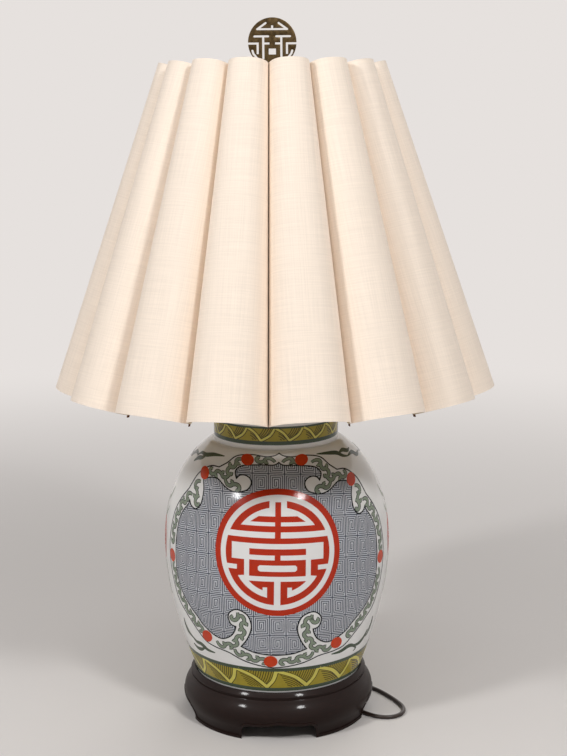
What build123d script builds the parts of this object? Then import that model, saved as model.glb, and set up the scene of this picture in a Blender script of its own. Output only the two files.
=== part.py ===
"""Table lamp made from a porcelain ginger jar, with a fluted shade.

Millimetres, +Z up. The origin is the middle of the stand's feet, on the table.
-Y is the front. Pieces are made from the table upwards, each seated on the one below.
"""

from build123d import *
from math import asin, atan2, ceil, cos, degrees, hypot, pi, radians, sin, tan
import os

# ---------------------------------------------------------------- clearances
running_gap = 0.3  # between pieces that move on each other
pipe_gap = 0.2  # radial, round the threaded pipe
glue_gap = 0.1  # between a wire ring and the tucks glued to it
weld_gap = 0.1  # between an arm's end and the ring it is welded to
drilled_gap = 0.5  # radial, where wood or porcelain is drilled for the pipe

# ---------------------------------------------------------------- stand
stand_height = 52.5
stand_foot_radius = 101.1
stand_swell_radius = 106.5
stand_swell_height = 25.0
stand_wall = 13.0
stand_deck = 10.0  # wood left under the jar
seat_depth = 8.5
seat_rim_width = 1.7
seat_clearance = 0.5
opening_count = 4
opening_width = 80.2
opening_height = 21.0
opening_corner = 8.0
opening_cusp = 3.2
bead_width = 3.2
bead_relief = 0.8

# ---------------------------------------------------------------- jar
jar_foot_radius = 90.6
jar_belly_radius = 124.7
jar_belly_rise = 155.0  # from the foot to the widest ring
jar_shoulder_rise = 113.6  # from the widest ring to the shelf that carries the lid
jar_wall = 5.5
jar_floor = 8.0
jar_foot_ring = 7.0
jar_foot_recess = 3.0
jar_shelf_margin = 1.8  # shelf showing outside the lid
neck_height = 20.0
neck_wall = 4.5
# where the wall's arcs meet, from the belly: share of the swell, share of the rise
lower_swell = ((0.768, 0.555), (0.246, 0.168))
upper_swell = ((0.918, 0.361), (0.623, 0.713), (0.128, 0.975))

# ---------------------------------------------------------------- lid
lid_radius = 68.2
lid_wall = 4.5
lid_gap = 2.2  # radial, round the jar's neck
lid_skirt = 26.0
lid_corner = 9.0
lid_crown = 8.0
lid_boss_radius = 24.0

# ---------------------------------------------------------------- pipe and its fastenings
pipe_radius = 5.15
pipe_bore_radius = 3.4
pipe_below_nut = 4.0
washer_radius = 12.5
washer_thickness = 1.6
nut_across_flats = 14.3
nut_thickness = 5.0
bushing_flange_radius = 5.5
bushing_flange = 2.0
bushing_sleeve = 8.0

# ---------------------------------------------------------------- brass above the lid
check_ring_radius = 22.0
check_ring_height = 3.4
brass_neck_height = 33.6
brass_neck_radius = 8.0

# ---------------------------------------------------------------- harp
saddle_width = 12.7
saddle_thickness = 1.6
saddle_reach = 28.6  # from the axis to the outer face of an arm
saddle_arm_height = 20.0
saddle_shoulder_height = 4.0
saddle_tab_width = 5.0
saddle_eye_wall = 0.9  # metal round the hole for the pipe
harp_wire_radius = 1.75
wire_sides = 8  # flats that stand for the round of the harp's and the shade's wires
harp_height = 302.5  # saddle plate to the middle of the top wire
harp_half_width = 58.0
harp_top_half_width = 24.0
harp_straight = 34.0
sleeve_bore_radius = 3.9
sleeve_wall = 0.7
sleeve_height = 12.5
stud_hub_radius = 6.0
stud_flange_radius = 9.5
stud_flange = 1.6
stud_radius = 3.175
stud_length = 10.4  # above the flange

# ---------------------------------------------------------------- socket
socket_hub_radius = 7.2
socket_hub_height = 7.0
socket_cap_radius = 17.4
socket_cap_height = 22.0
brass_sheet = 0.7
socket_shell_radius = 16.5
socket_shell_height = 45.0
liner_thickness = 0.8
socket_body_radius = 13.8
socket_body_height = 16.0
contact_post_radius = 5.0
contact_post_height = 3.0
screw_shell_bore_radius = 13.6
screw_shell_height = 25.0
terminal_radius = 2.2
terminal_offset = 8.0
conductor_radius = 0.9
conductor_offset = 1.25

# ---------------------------------------------------------------- switch
switch_shaft_radius = 2.4
switch_shaft_length = 22.0
switch_bore_depth = 6.0
switch_height = 9.0  # above the underside of the socket body
knob_radius = 6.5
knob_length = 14.0
knob_ribs = 12

# ---------------------------------------------------------------- bulb
bulb_radius = 30.0
bulb_cap_radius = 13.0
bulb_cap_height = 21.0
bulb_glass_wall = 0.8
bulb_neck_radius = 12.2
bulb_glass_height = 98.0
bulb_insulator_height = 3.6
bulb_contact_radius = 4.6
bulb_contact_height = 1.4

# ---------------------------------------------------------------- shade
flute_count = 16
seam_azimuth = -2.0  # degrees, of the seam nearest the front
crown_bottom_radius = 238.2
crown_top_radius = 120.4
crease_bottom_radius = 203.9
shade_slant = 358.1
shade_thickness = 1.2
tuck_depth = 4.0
ring_wire_radius = 1.5
top_ring_inset = 5.0
bottom_ring_inset = 5.0
shade_above_washer = 8.9  # top of the creases above the washer's top face
spider_arms = 3
spider_washer_radius = 14.0
spider_washer = 1.6
spider_washer_bore = 3.8
arm_lap = 2.5  # how far an arm lies on the washer

# ---------------------------------------------------------------- finial
finial_base_height = 8.0
finial_foot_radius = 8.2
finial_waist_radius = 5.0
finial_collar_height = 5.0
finial_collar_radius = 6.2
finial_bore_radius = 3.3
collar_hollow = 1.2  # depth, over the stud's end
medallion_radius = 25.5
medallion_thickness = 3.2
medallion_sunk = 4.7  # depth of the disc's edge in the collar
slit = 2.2

# ---------------------------------------------------------------- cord
cord_radius = 2.25
cord_sides = 6
cord_floor_gap = 0.05
coil_outer_radius = 37.6  # middle of the outermost turn
coil_pitch = 5.8
coil_half_turns = 7  # in each of the two layers
coil_centre_y = 190.0
tie_thickness = 0.8
tie_width = 7.0
tie_gap = 0.35
tail_length = 10.0
plug_relief_length = 24.0
plug_length = 26.0
plug_width = 25.0
plug_thickness = 18.4  # its cord leaves it at the height of the coil's upper layer
plug_corner = 3.0
blade_spacing = 12.7
blade_height = 6.35
blade_thickness = 1.5
blade_length = 17.0

# ---------------------------------------------------------------- heights, from the table up
seat_z = stand_height - seat_depth
deck_z = seat_z - stand_deck
belly_z = seat_z + jar_belly_rise
shelf_z = belly_z + jar_shoulder_rise
neck_z = shelf_z + neck_height
lid_top_z = shelf_z + lid_skirt + lid_corner + lid_crown
washer_z = deck_z - washer_thickness
nut_z = washer_z - nut_thickness
pipe_bottom_z = nut_z - pipe_below_nut
exit_z = pipe_bottom_z - bushing_flange
check_ring_z = lid_top_z
brass_neck_z = check_ring_z + check_ring_height
saddle_z = brass_neck_z + brass_neck_height
socket_z = saddle_z + saddle_thickness
pipe_top_z = socket_z + socket_hub_height - 0.6
body_z = socket_z + socket_hub_height + 10.4
body_top_z = body_z + socket_body_height
contact_top_z = body_top_z + contact_post_height + 0.4
bulb_z = contact_top_z + running_gap
harp_top_z = saddle_z + harp_height
flange_z = harp_top_z + harp_wire_radius + 1.75
flange_top_z = flange_z + stud_flange
spider_z = flange_top_z + running_gap
crease_top_z = spider_z + spider_washer + shade_above_washer
finial_z = spider_z + spider_washer + running_gap
shelf_radius = lid_radius + jar_shelf_margin
neck_radius = lid_radius - lid_wall - lid_gap


def revolve_outline(outline):
    """A solid of revolution about Z from edges drawn in the XZ plane."""
    return revolve(make_face(outline), Axis.Z)


def revolve_points(*points):
    """A solid of revolution from straight-sided (radius, z) points."""
    return revolve_outline(Polyline(*[(r, 0, z) for r, z in points], close=True))


def ring_solid(outer, inner, low, height):
    """A plain tube or washer."""
    return revolve_points((inner, low), (outer, low), (outer, low + height), (inner, low + height))


def rod(start, end, radius):
    """A round bar between two points."""
    line = Line(start, end)
    return sweep(Plane(origin=start, z_dir=line % 0) * Circle(radius), path=line)


def tube_along(path, radius, sides=0):
    """A wire or cord along a path, round or with a number of flat sides."""
    section = RegularPolygon(radius, sides) if sides else Circle(radius)
    return sweep(Plane(origin=path @ 0, z_dir=path % 0) * section, path=path)


def interpolate(points, z):
    """The radius at a height, between (radius, z) points."""
    for (r0, z0), (r1, z1) in zip(points, points[1:]):
        if z0 <= z <= z1:
            return r0 + (r1 - r0) * (z - z0) / (z1 - z0)
    raise ValueError("no such height on this outline")


def chords_inside(arcs, heading, wall, steps):
    """(radius, z) points along arcs drawn up (1) or down (-1), moved inwards by the wall."""
    places = [(arc, i / steps) for arc in arcs for i in range(steps)] + [(arcs[-1], 1)]
    points = []
    for arc, share in places:
        at, along = arc @ share, (arc % share) * heading
        points.append((at.X - wall * along.Z, at.Z + wall * along.X))
    return points


def at_azimuth(radius, azimuth, z):
    """A point at an azimuth in degrees, from the front (-Y) towards +X."""
    return (radius * sin(radians(azimuth)), -radius * cos(radians(azimuth)), z)


def arcs_from(start, heading, points):
    """Arcs in the XZ plane, each smooth with the last, from an upright start through points."""
    at, tangent = Vector(start[0], 0, start[1]), Vector(0, 0, heading)
    edges = []
    for r, z in points:
        arc = TangentArc(at, (r, 0, z), tangent=tangent)
        edges.append(arc)
        at, tangent = arc @ 1, arc % 1
    return edges


# ---------------------------------------------------------------- jar
def jar_outline():
    """(radius, z) points where the arcs of the jar's wall meet, from its foot to the shelf."""
    low = jar_belly_radius - jar_foot_radius
    high = jar_belly_radius - shelf_radius
    down = [(jar_foot_radius + low * f, seat_z + jar_belly_rise * g) for f, g in lower_swell]
    up = [(shelf_radius + high * f, belly_z + jar_shoulder_rise * g) for f, g in upper_swell]
    foot, shelf = (jar_foot_radius, seat_z), (shelf_radius, shelf_z)
    return [foot] + down[::-1] + [(jar_belly_radius, belly_z)] + up + [shelf]


def make_jar():
    outer = jar_outline()
    belly = outer.index((jar_belly_radius, belly_z))
    down = arcs_from(outer[belly], -1, outer[belly - 1 :: -1])
    up = arcs_from(outer[belly], 1, outer[belly + 1 :])
    body = revolve_outline(
        Curve()
        + (down + up)
        + Polyline(
            (shelf_radius, 0, shelf_z),
            (neck_radius, 0, shelf_z),
            (neck_radius, 0, neck_z),
            (0, 0, neck_z),
            (0, 0, seat_z),
            (jar_foot_radius, 0, seat_z),
        )
    )
    inner_floor = seat_z + jar_foot_recess + jar_floor
    inside = chords_inside(down, -1, jar_wall, 2)[::-1] + chords_inside(up[:-1], 1, jar_wall, 2)[1:]
    throat = neck_radius - neck_wall
    hollow = revolve_points(
        (0, inner_floor),
        (interpolate(inside, inner_floor), inner_floor),
        *[point for point in inside if point[1] > inner_floor],
        (throat, shelf_z - jar_wall),
        (throat, neck_z + 1),
        (0, neck_z + 1),
    )
    recess_radius = jar_foot_radius - jar_foot_ring
    recess = Pos(0, 0, seat_z) * Cylinder(
        recess_radius, jar_foot_recess, align=(Align.CENTER, Align.CENTER, Align.MIN)
    )
    bore = Pos(0, 0, seat_z) * Cylinder(pipe_radius + drilled_gap, 4 * jar_floor)
    jar = body - hollow - recess - bore
    rim = [e for e in jar.edges().filter_by(GeomType.CIRCLE) if abs(e.center().Z - neck_z) < 0.01]
    return chamfer(rim, neck_wall * 0.3)


def make_lid():
    skirt_top = shelf_z + lid_skirt
    corner_z = skirt_top + lid_corner
    half = cos(radians(45)) * lid_corner
    shoulder = lid_radius - lid_corner
    crown = ((shoulder + lid_boss_radius) / 2, 0, corner_z + lid_crown * 0.68)
    cap = revolve_outline(
        Polyline((0, 0, shelf_z), (lid_radius, 0, shelf_z), (lid_radius, 0, skirt_top))
        + ThreePointArc(
            (lid_radius, 0, skirt_top), (shoulder + half, 0, skirt_top + half), (shoulder, 0, corner_z)
        )
        + ThreePointArc((shoulder, 0, corner_z), crown, (lid_boss_radius, 0, lid_top_z))
        + Polyline((lid_boss_radius, 0, lid_top_z), (0, 0, lid_top_z), (0, 0, shelf_z))
    )
    hollow = revolve_points(
        (0, shelf_z - 1),
        (lid_radius - lid_wall, shelf_z - 1),
        (lid_radius - lid_wall, skirt_top),
        (shoulder, corner_z - lid_wall),
        (lid_boss_radius, lid_top_z - lid_wall),
        (0, lid_top_z - lid_wall),
    )
    bore = Pos(0, 0, lid_top_z) * Cylinder(pipe_radius + drilled_gap, 4 * lid_wall)
    return cap - hollow - bore


# ---------------------------------------------------------------- stand
def opening_profile(grow):
    """The arch between two feet, seen from outside: shallow curves rising to a cusp."""
    half = opening_width / 2 + grow
    top = opening_height + grow
    eave = top - opening_cusp
    corner = opening_corner + grow
    bend = corner * (1 - cos(radians(45)))
    right = (
        Line((half, -1), (half, eave - corner))
        + ThreePointArc((half, eave - corner), (half - bend, eave - bend), (half - corner, eave))
        + ThreePointArc((half - corner, eave), (half * 0.4, eave + 0.6), (0, top))
    )
    return make_face(right + mirror(right, Plane.YZ) + Line((-half, -1), (half, -1)))


def opening_prism(grow, azimuth):
    """That arch, run out through the wall at one azimuth."""
    through = extrude(Plane.XZ * opening_profile(grow), amount=1.5 * stand_swell_radius)
    return Rot(0, 0, azimuth) * through


def make_stand():
    rim_inner = interpolate(jar_outline(), stand_height) + seat_clearance
    rim_outer = rim_inner + seat_rim_width
    groove_z = stand_height - 8.0
    neck = rim_outer + 2.9

    def solid_inside(proud, foot):
        """All inside the swelling wall, from the table to the groove under the seat rim."""
        widest = (stand_swell_radius + proud, stand_swell_height)
        below = (stand_swell_radius + proud - 2.5, stand_swell_height * 0.56)
        low = (stand_foot_radius + proud - 0.9, bead_width)
        above = (stand_swell_radius + proud - 4.4, (stand_swell_height + 2 * groove_z) / 3)
        top = (neck + proud, groove_z)
        return revolve_outline(
            Curve()
            + (arcs_from(widest, -1, [below, low]) + arcs_from(widest, 1, [above, top]))
            + Polyline(
                (low[0], 0, low[1]),
                (foot, 0, bead_width),
                (foot, 0, 0),
                (0, 0, 0),
                (0, 0, groove_z),
                (top[0], 0, groove_z),
            )
        )

    ground = solid_inside(0, stand_foot_radius)
    proud = solid_inside(bead_relief, stand_foot_radius + 0.1)
    bead_zone = ring_solid(2 * stand_swell_radius, 1, 0, bead_width)
    azimuths = [i * 360 / opening_count for i in range(opening_count)]
    for azimuth in azimuths:
        bead_zone += opening_prism(bead_width, azimuth)
    rim = revolve_points(
        (0, groove_z - 0.5),
        (neck - 0.8, groove_z - 0.5),
        (neck - 0.8, groove_z + 1),
        (neck + 0.2, groove_z + 3.4),
        (rim_outer, stand_height - 0.8),
        (rim_outer - 0.6, stand_height),
        (0, stand_height),
    )
    stand = ground + (proud & bead_zone) + rim
    stand -= Pos(0, 0, seat_z) * Cylinder(
        rim_inner, 2 * seat_depth, align=(Align.CENTER, Align.CENTER, Align.MIN)
    )
    under = stand_foot_radius - stand_wall
    stand -= revolve_points(
        (0, -1), (under, -1), (under, deck_z - 5), (under - 5, deck_z), (0, deck_z)
    )
    stand -= Pos(0, 0, deck_z) * Cylinder(pipe_radius + drilled_gap, 4 * stand_deck)
    for azimuth in azimuths:
        stand -= opening_prism(0, azimuth)
    return stand


# ---------------------------------------------------------------- pipe and its fastenings
def make_pipe():
    return ring_solid(pipe_radius, pipe_bore_radius, pipe_bottom_z, pipe_top_z - pipe_bottom_z)


def make_stand_washer():
    return ring_solid(washer_radius, pipe_radius + pipe_gap, washer_z, washer_thickness)


def make_stand_nut():
    blank = Pos(0, 0, nut_z) * extrude(
        RegularPolygon(nut_across_flats / 2, 6, major_radius=False), nut_thickness
    )
    corner = nut_across_flats / 2 / cos(radians(30))
    chamfer_cone = revolve_points(
        (0, nut_z - 1),
        (corner - 1.8, nut_z - 1),
        (corner - 0.6, nut_z),
        (corner + 0.1, nut_z + 1),
        (corner + 0.1, nut_z + nut_thickness),
        (0, nut_z + nut_thickness),
    )
    return (blank & chamfer_cone) - Pos(0, 0, nut_z) * Cylinder(pipe_radius + pipe_gap, 20)


def make_pipe_bushing():
    bore = cord_radius + 0.1
    sleeve = pipe_bore_radius - 0.1
    return revolve_points(
        (bore, exit_z),
        (bushing_flange_radius - 0.6, exit_z),
        (bushing_flange_radius, exit_z + 0.6),
        (bushing_flange_radius, pipe_bottom_z),
        (sleeve, pipe_bottom_z),
        (sleeve, pipe_bottom_z + bushing_sleeve),
        (bore, pipe_bottom_z + bushing_sleeve),
    )


# ---------------------------------------------------------------- brass above the lid
def make_check_ring():
    bore, z, r = pipe_radius + pipe_gap, check_ring_z, check_ring_radius
    top = z + check_ring_height
    return revolve_points(
        (bore, z), (r, z), (r, z + 1), (r - 2, z + 2.1), (r - 4, z + 2.1), (r - 6, top), (bore, top)
    )


def make_brass_neck():
    """A turned spacer: beads at both ends and a slim waist."""
    bore, z, r = pipe_radius + pipe_gap, brass_neck_z, brass_neck_radius
    top = z + brass_neck_height
    foot, bead = r + 4.5, r + 3.0
    return revolve_points(
        (bore, z), (foot, z), (foot + 1.2, z + 1.2), (foot + 1.2, z + 2.8), (foot, z + 4),
        (foot - 1.6, z + 4), (r + 0.9, z + 8), (r, z + 15), (r + 0.3, top - 10), (r + 1.4, top - 6),
        (bead + 0.6, top - 4.6), (bead + 0.6, top - 2.6), (bead, top - 1.4), (bead, top), (bore, top),
    )


# ---------------------------------------------------------------- harp
def make_harp_saddle():
    """A steel strip bent up at both ends; each arm narrows to a tab that enters a sleeve."""
    inner = saddle_reach - saddle_thickness
    top = saddle_z + saddle_arm_height
    section = make_face(
        Polyline(
            (-saddle_reach, 0, saddle_z),
            (saddle_reach, 0, saddle_z),
            (saddle_reach, 0, top),
            (inner, 0, top),
            (inner, 0, saddle_z + saddle_thickness),
            (-inner, 0, saddle_z + saddle_thickness),
            (-inner, 0, top),
            (-saddle_reach, 0, top),
            close=True,
        )
    )
    strip = extrude(section, saddle_width / 2, dir=(0, 1, 0), both=True)
    shoulder = saddle_z + saddle_shoulder_height
    trim_width = (saddle_width - saddle_tab_width) / 2
    for side in (-1, 1):
        strip -= Pos(0, side * (saddle_tab_width + trim_width) / 2, shoulder) * Box(
            3 * saddle_reach,
            trim_width,
            2 * saddle_arm_height,
            align=(Align.CENTER, Align.CENTER, Align.MIN),
        )
    hole = pipe_radius + pipe_gap
    if hole + saddle_eye_wall > saddle_width / 2:  # a thick pipe needs an eye wider than the strip
        strip += ring_solid(hole + saddle_eye_wall, hole, saddle_z, saddle_thickness)
    return strip - Pos(0, 0, saddle_z) * Cylinder(hole, 10)


leg_x = saddle_reach + 0.1 + harp_wire_radius
leg_z = saddle_z + saddle_shoulder_height


def harp_path():
    """The harp's wire: two upright legs, bowed sides and a flat top."""
    straight_z = leg_z + harp_straight
    bow_low_z = straight_z + 48.0
    bow_high_z = harp_top_z - 94.0
    half = [
        (harp_top_half_width, 0, harp_top_z),
        (harp_half_width, 0, bow_high_z),
        (harp_half_width, 0, bow_low_z),
        (leg_x, 0, straight_z),
        (leg_x, 0, leg_z),
    ]
    mirrored = [(-x, y, z) for x, y, z in half]
    points = mirrored[::-1] + half
    radii = [14.0, 60.0, 75.0, 13.0, 13.0, 75.0, 60.0, 14.0]
    return FilletPolyline(*points, radius=radii)


def make_harp():
    return tube_along(harp_path(), harp_wire_radius, wire_sides)


def make_harp_sleeve(side):
    centre = side * (saddle_reach + 1.0)
    low = saddle_z + saddle_shoulder_height + running_gap
    outer = sleeve_bore_radius + sleeve_wall
    top = low + sleeve_height
    tube = revolve_points(
        (sleeve_bore_radius, low),
        (outer + 0.5, low),
        (outer + 0.5, low + 1.6),
        (outer, low + 1.9),
        (outer, top - 1),
        (outer - 0.4, top),
        (sleeve_bore_radius, top),
    )
    return Pos(centre, 0, 0) * tube


def make_harp_stud():
    """The hub that grips the top wire, the flange that carries the shade, and the stud."""
    top = flange_top_z + stud_length
    hub = revolve_points(
        (0, harp_top_z - 4.2),
        (stud_hub_radius - 1.2, harp_top_z - 4.2),
        (stud_hub_radius, harp_top_z - 3),
        (stud_hub_radius, flange_z),
        (stud_flange_radius, flange_z),
        (stud_flange_radius, flange_top_z),
        (stud_radius, flange_top_z),
        (stud_radius, top - 0.8),
        (stud_radius - 0.8, top),
        (0, top),
    )
    cross_bore = Pos(0, 0, harp_top_z) * Rot(0, 90, 0) * Cylinder(harp_wire_radius + 0.05, 40)
    return hub - cross_bore


# ---------------------------------------------------------------- socket
def make_socket_cap():
    """The cup on the pipe's end: a threaded hub under a domed sheet brass cup."""
    z = socket_z
    bore, hub, r = pipe_radius + pipe_gap, socket_hub_radius, socket_cap_radius
    neck = z + socket_hub_height
    rim = z + socket_cap_height
    inner = r - brass_sheet
    return revolve_points(
        (bore, z), (hub, z), (hub, neck - 1.4), (r - 3, neck + 1.6), (r, neck + 8), (r, rim),
        (inner, rim), (inner, neck + 8), (r - 3.7, neck + 2.4), (hub, neck), (bore, neck),
    )


switch_z = body_z + switch_height
shell_z = body_z - 2.0


def knob_hole(radius):
    """The round hole in a wall of the socket for the switch's shaft."""
    return Pos(0, -socket_cap_radius, switch_z) * Rot(90, 0, 0) * Cylinder(radius, 16)


def make_socket_shell():
    """The brass shell: bead above the cap's rim and a rolled lip round the bulb."""
    r, top = socket_shell_radius, shell_z + socket_shell_height
    bead_z = socket_z + socket_cap_height + 1.2
    inner = r - brass_sheet
    shell = revolve_points(
        (inner, shell_z), (r, shell_z), (r, bead_z), (r + 0.9, bead_z + 1), (r, bead_z + 2),
        (r, top - 1.2), (r - 1.2, top), (r - 2.4, top), (r - 2.4, top - brass_sheet),
        (inner, top - brass_sheet),
    )
    return shell - knob_hole(switch_shaft_radius + 1.2)


def make_socket_liner():
    outer = socket_shell_radius - brass_sheet - 0.1
    height = socket_shell_height - brass_sheet - 2.2
    liner = ring_solid(outer, outer - liner_thickness, shell_z + 2, height)
    return liner - knob_hole(switch_shaft_radius + 1.2)


def make_socket_body():
    """The moulded block that holds the switch, the contacts and the screw shell."""
    r, z, top = socket_body_radius, body_z, body_top_z
    block = revolve_points(
        (0, z), (r - 1, z), (r, z + 1), (r, top), (contact_post_radius, top),
        (contact_post_radius, top + contact_post_height), (0, top + contact_post_height),
    )
    bore_length = switch_bore_depth + 2
    bore = (
        Pos(0, -(r - switch_bore_depth), switch_z)
        * Rot(90, 0, 0)
        * Cylinder(
            switch_shaft_radius + 0.05,
            bore_length,
            align=(Align.CENTER, Align.CENTER, Align.MIN),
        )
    )
    return block - bore


def make_screw_shell():
    r = screw_shell_bore_radius
    return revolve_points(
        (contact_post_radius + 0.6, body_top_z),
        (r + 0.5, body_top_z),
        (r + 0.5, body_top_z + screw_shell_height),
        (r, body_top_z + screw_shell_height),
        (r, body_top_z + 0.5),
        (contact_post_radius + 0.6, body_top_z + 0.5),
    )


def make_centre_contact():
    low = body_top_z + contact_post_height
    return revolve_points((0, low), (4, low), (4, low + 0.2), (2.5, low + 0.4), (0, low + 0.4))


def make_terminal_screws():
    screws = []
    for side in (-1, 1):
        head = Pos(side * terminal_offset, 0, body_z - 2) * Cylinder(
            terminal_radius, 2, align=(Align.CENTER, Align.CENTER, Align.MIN)
        )
        slot = Pos(side * terminal_offset, 0, body_z - 2) * Box(0.7, 6, 1.2)
        screws.append(head - slot)
    return screws


def make_switch_shaft():
    start = -(socket_body_radius - switch_bore_depth + running_gap)
    return rod((0, start, switch_z), (0, start - switch_shaft_length, switch_z), switch_shaft_radius)


def make_switch_knob():
    """A ribbed, slightly tapered knob pushed on the shaft's end."""
    shaft_end = socket_body_radius - switch_bore_depth + running_gap + switch_shaft_length
    start = shaft_end - 10.0
    r = knob_radius
    form = revolve_points(
        (0, 0), (r - 1.5, 0), (r, 1.5), (r - 0.6, knob_length - 1.2), (r - 1.8, knob_length),
        (0, knob_length),
    )
    for i in range(knob_ribs):
        angle = 360 * (i + 0.5) / knob_ribs
        form -= Rot(0, 0, angle) * Pos(r + 0.35, 0, knob_length / 2 + 2) * Cylinder(1.0, knob_length)
    form -= Cylinder(
        switch_shaft_radius + 0.05, 10.0, align=(Align.CENTER, Align.CENTER, Align.MIN)
    )
    return Pos(0, -start, switch_z) * Rot(90, 0, 0) * form


# ---------------------------------------------------------------- bulb
insulator_z = bulb_z + bulb_contact_height
bulb_cap_z = insulator_z + bulb_insulator_height


def make_bulb_contact():
    r, z = bulb_contact_radius, bulb_z
    top = z + bulb_contact_height
    return revolve_points((0, z), (r * 0.5, z), (r * 0.85, z + 0.4), (r, top), (0, top))


def make_bulb_insulator():
    return revolve_points(
        (0, insulator_z),
        (bulb_contact_radius + 0.6, insulator_z),
        (bulb_cap_radius - 1.2, bulb_cap_z),
        (0, bulb_cap_z),
    )


def make_bulb_cap():
    r, z, wall = bulb_cap_radius, bulb_cap_z, 0.4
    return revolve_points(
        (r - 1.4, z), (r - 1, z), (r, z + 2), (r, z + bulb_cap_height),
        (r - wall, z + bulb_cap_height), (r - wall, z + 2), (r - 1.4, z + 0.8),
    )


def make_bulb_glass():
    """The pear of the bulb: a neck, open below, that flares into a ball."""
    low = bulb_cap_z + 6.0
    top = low + bulb_glass_height
    centre = top - bulb_radius
    neck_top = bulb_cap_z + bulb_cap_height + 3.0
    angle = radians(-38)
    join = (bulb_radius * cos(angle), 0, centre + bulb_radius * sin(angle))
    side = (bulb_radius * cos(0.4), 0, centre + bulb_radius * sin(0.4))
    flare = TangentArc(join, (bulb_neck_radius, 0, neck_top), tangent=(sin(angle), 0, -cos(angle)))
    ball = ThreePointArc(join, side, (0, 0, top))
    neck_line = Polyline(
        (0, 0, top), (0, 0, low), (bulb_neck_radius, 0, low), (bulb_neck_radius, 0, neck_top)
    )
    glass = revolve_outline(neck_line + flare + ball)
    inside = chords_inside([flare], -1, bulb_glass_wall, 3)[::-1]
    inside += chords_inside([ball], 1, bulb_glass_wall, 6)[1:]
    return glass - revolve_points((0, low - 1), (inside[0][0], low - 1), *inside)


# ---------------------------------------------------------------- shade
# Each flute is part of a round cone. All the cones share one apex on the lamp's axis, so that
# neighbours meet along straight creases, and each flute is cut square to its own axis.
crown_angle = asin((crown_bottom_radius - crown_top_radius) / shade_slant)
crease_angle = asin(sin(crown_angle) * crease_bottom_radius / crown_bottom_radius)
half_flute = radians(180 / flute_count)
flute_tilt = atan2(
    cos(crease_angle) - cos(crown_angle),
    sin(crown_angle) - sin(crease_angle) * cos(half_flute),
)
flute_half_angle = crown_angle - flute_tilt
apex_to_bottom = crown_bottom_radius / sin(crown_angle)  # along the crowns and the creases
apex_to_top = apex_to_bottom - shade_slant
apex_z = crease_top_z + apex_to_top * cos(crease_angle)
crease_bottom_z = apex_z - apex_to_bottom * cos(crease_angle)
tuck_angle = atan2(crease_bottom_radius - tuck_depth, apex_z - crease_bottom_z)


def tuck_radius(z):
    """How far out the inner ends of the tucks between the flutes lie at a height."""
    return (apex_z - z) * tan(tuck_angle)


def flute_cone(inset, spare):
    """One flute's whole cone about Z, apex up at the origin, thinner by the inset."""
    low = (apex_to_bottom + spare) * cos(flute_half_angle)
    high = (apex_to_top - spare) * cos(flute_half_angle)
    slope = tan(flute_half_angle)
    narrower = inset / cos(flute_half_angle)
    return revolve_points(
        (0, -low), (low * slope - narrower, -low), (high * slope - narrower, -high), (0, -high)
    )


def make_shade_fabric():
    """Sixteen stiff linen flutes, tucked together at the creases."""
    wall = flute_cone(0, 0) - flute_cone(shade_thickness, 1)
    reach = 2 * crown_bottom_radius
    side = reach * tan(half_flute)
    sector = extrude(make_face(Polyline((0, 0), (side, -reach), (-side, -reach), close=True)), -apex_z)
    low, high = crease_bottom_z - 60, crease_top_z + 60
    base = RegularPolygon(tuck_radius(low), flute_count, major_radius=False)
    core = Pos(0, 0, low - apex_z) * extrude(base, high - low, taper=degrees(tuck_angle))
    flute = (Rot(-degrees(flute_tilt), 0, 0) * wall & sector) - core
    cover = None
    for i in range(flute_count):
        turn = seam_azimuth + (i + 0.5) * 360 / flute_count
        placed = Pos(0, 0, apex_z) * Rot(0, 0, turn) * flute
        cover = placed if cover is None else cover + placed
    return cover


def ring_radius(z):
    """Where the middle of a wire ring glued inside the tucks lies at a height."""
    return tuck_radius(z) - ring_wire_radius - glue_gap


def wire_ring(z):
    section = Plane.XZ * Pos(ring_radius(z), z) * RegularPolygon(ring_wire_radius, wire_sides)
    return revolve(section, Axis.Z)


top_ring_z = crease_top_z - top_ring_inset


def make_shade_top_ring():
    return wire_ring(top_ring_z)


def make_shade_spider():
    """The washer that sits on the harp, and three arms welded to it and to the top ring."""
    washer = ring_solid(spider_washer_radius, spider_washer_bore, spider_z, spider_washer)
    arm_z = spider_z + spider_washer / 2 + ring_wire_radius
    arm_end = ring_radius(top_ring_z) - ring_wire_radius - weld_gap
    arms = []
    for i in range(spider_arms):
        azimuth = 90 + i * 360 / spider_arms
        inner = at_azimuth(spider_washer_radius - arm_lap, azimuth, arm_z)
        outer = at_azimuth(arm_end, azimuth, top_ring_z)
        arms.append(rod(inner, outer, ring_wire_radius) - washer)
    return [washer, *arms]


def make_shade_bottom_ring():
    return wire_ring(crease_bottom_z + bottom_ring_inset)


# ---------------------------------------------------------------- finial
collar_z = finial_z + finial_base_height + running_gap
collar_top_z = collar_z + finial_collar_height


def make_finial_base():
    """The finial's foot: a small turned nut on the stud."""
    z, top = finial_z, finial_z + finial_base_height
    foot, waist, bore = finial_foot_radius, finial_waist_radius, finial_bore_radius
    return revolve_points(
        (bore, z), (foot, z), (foot, z + 1.2), (foot - 1.2, z + 3.6), (waist, z + 4.4),
        (waist - 0.4, top - 1), (waist - 0.4, top), (bore, top),
    )


def make_finial_collar():
    """The turned collar in one piece with the medallion, hollow below for the stud's end."""
    z, top = collar_z, collar_top_z
    waist, collar, bore = finial_waist_radius, finial_collar_radius, finial_bore_radius
    return revolve_points(
        (bore, z), (waist - 0.4, z), (collar, z + 1.3), (collar - 0.4, z + 2), (collar - 1.4, top - 1.2),
        (collar - 2.6, top), (0, top), (0, z + collar_hollow), (bore, z + collar_hollow),
    )


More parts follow.
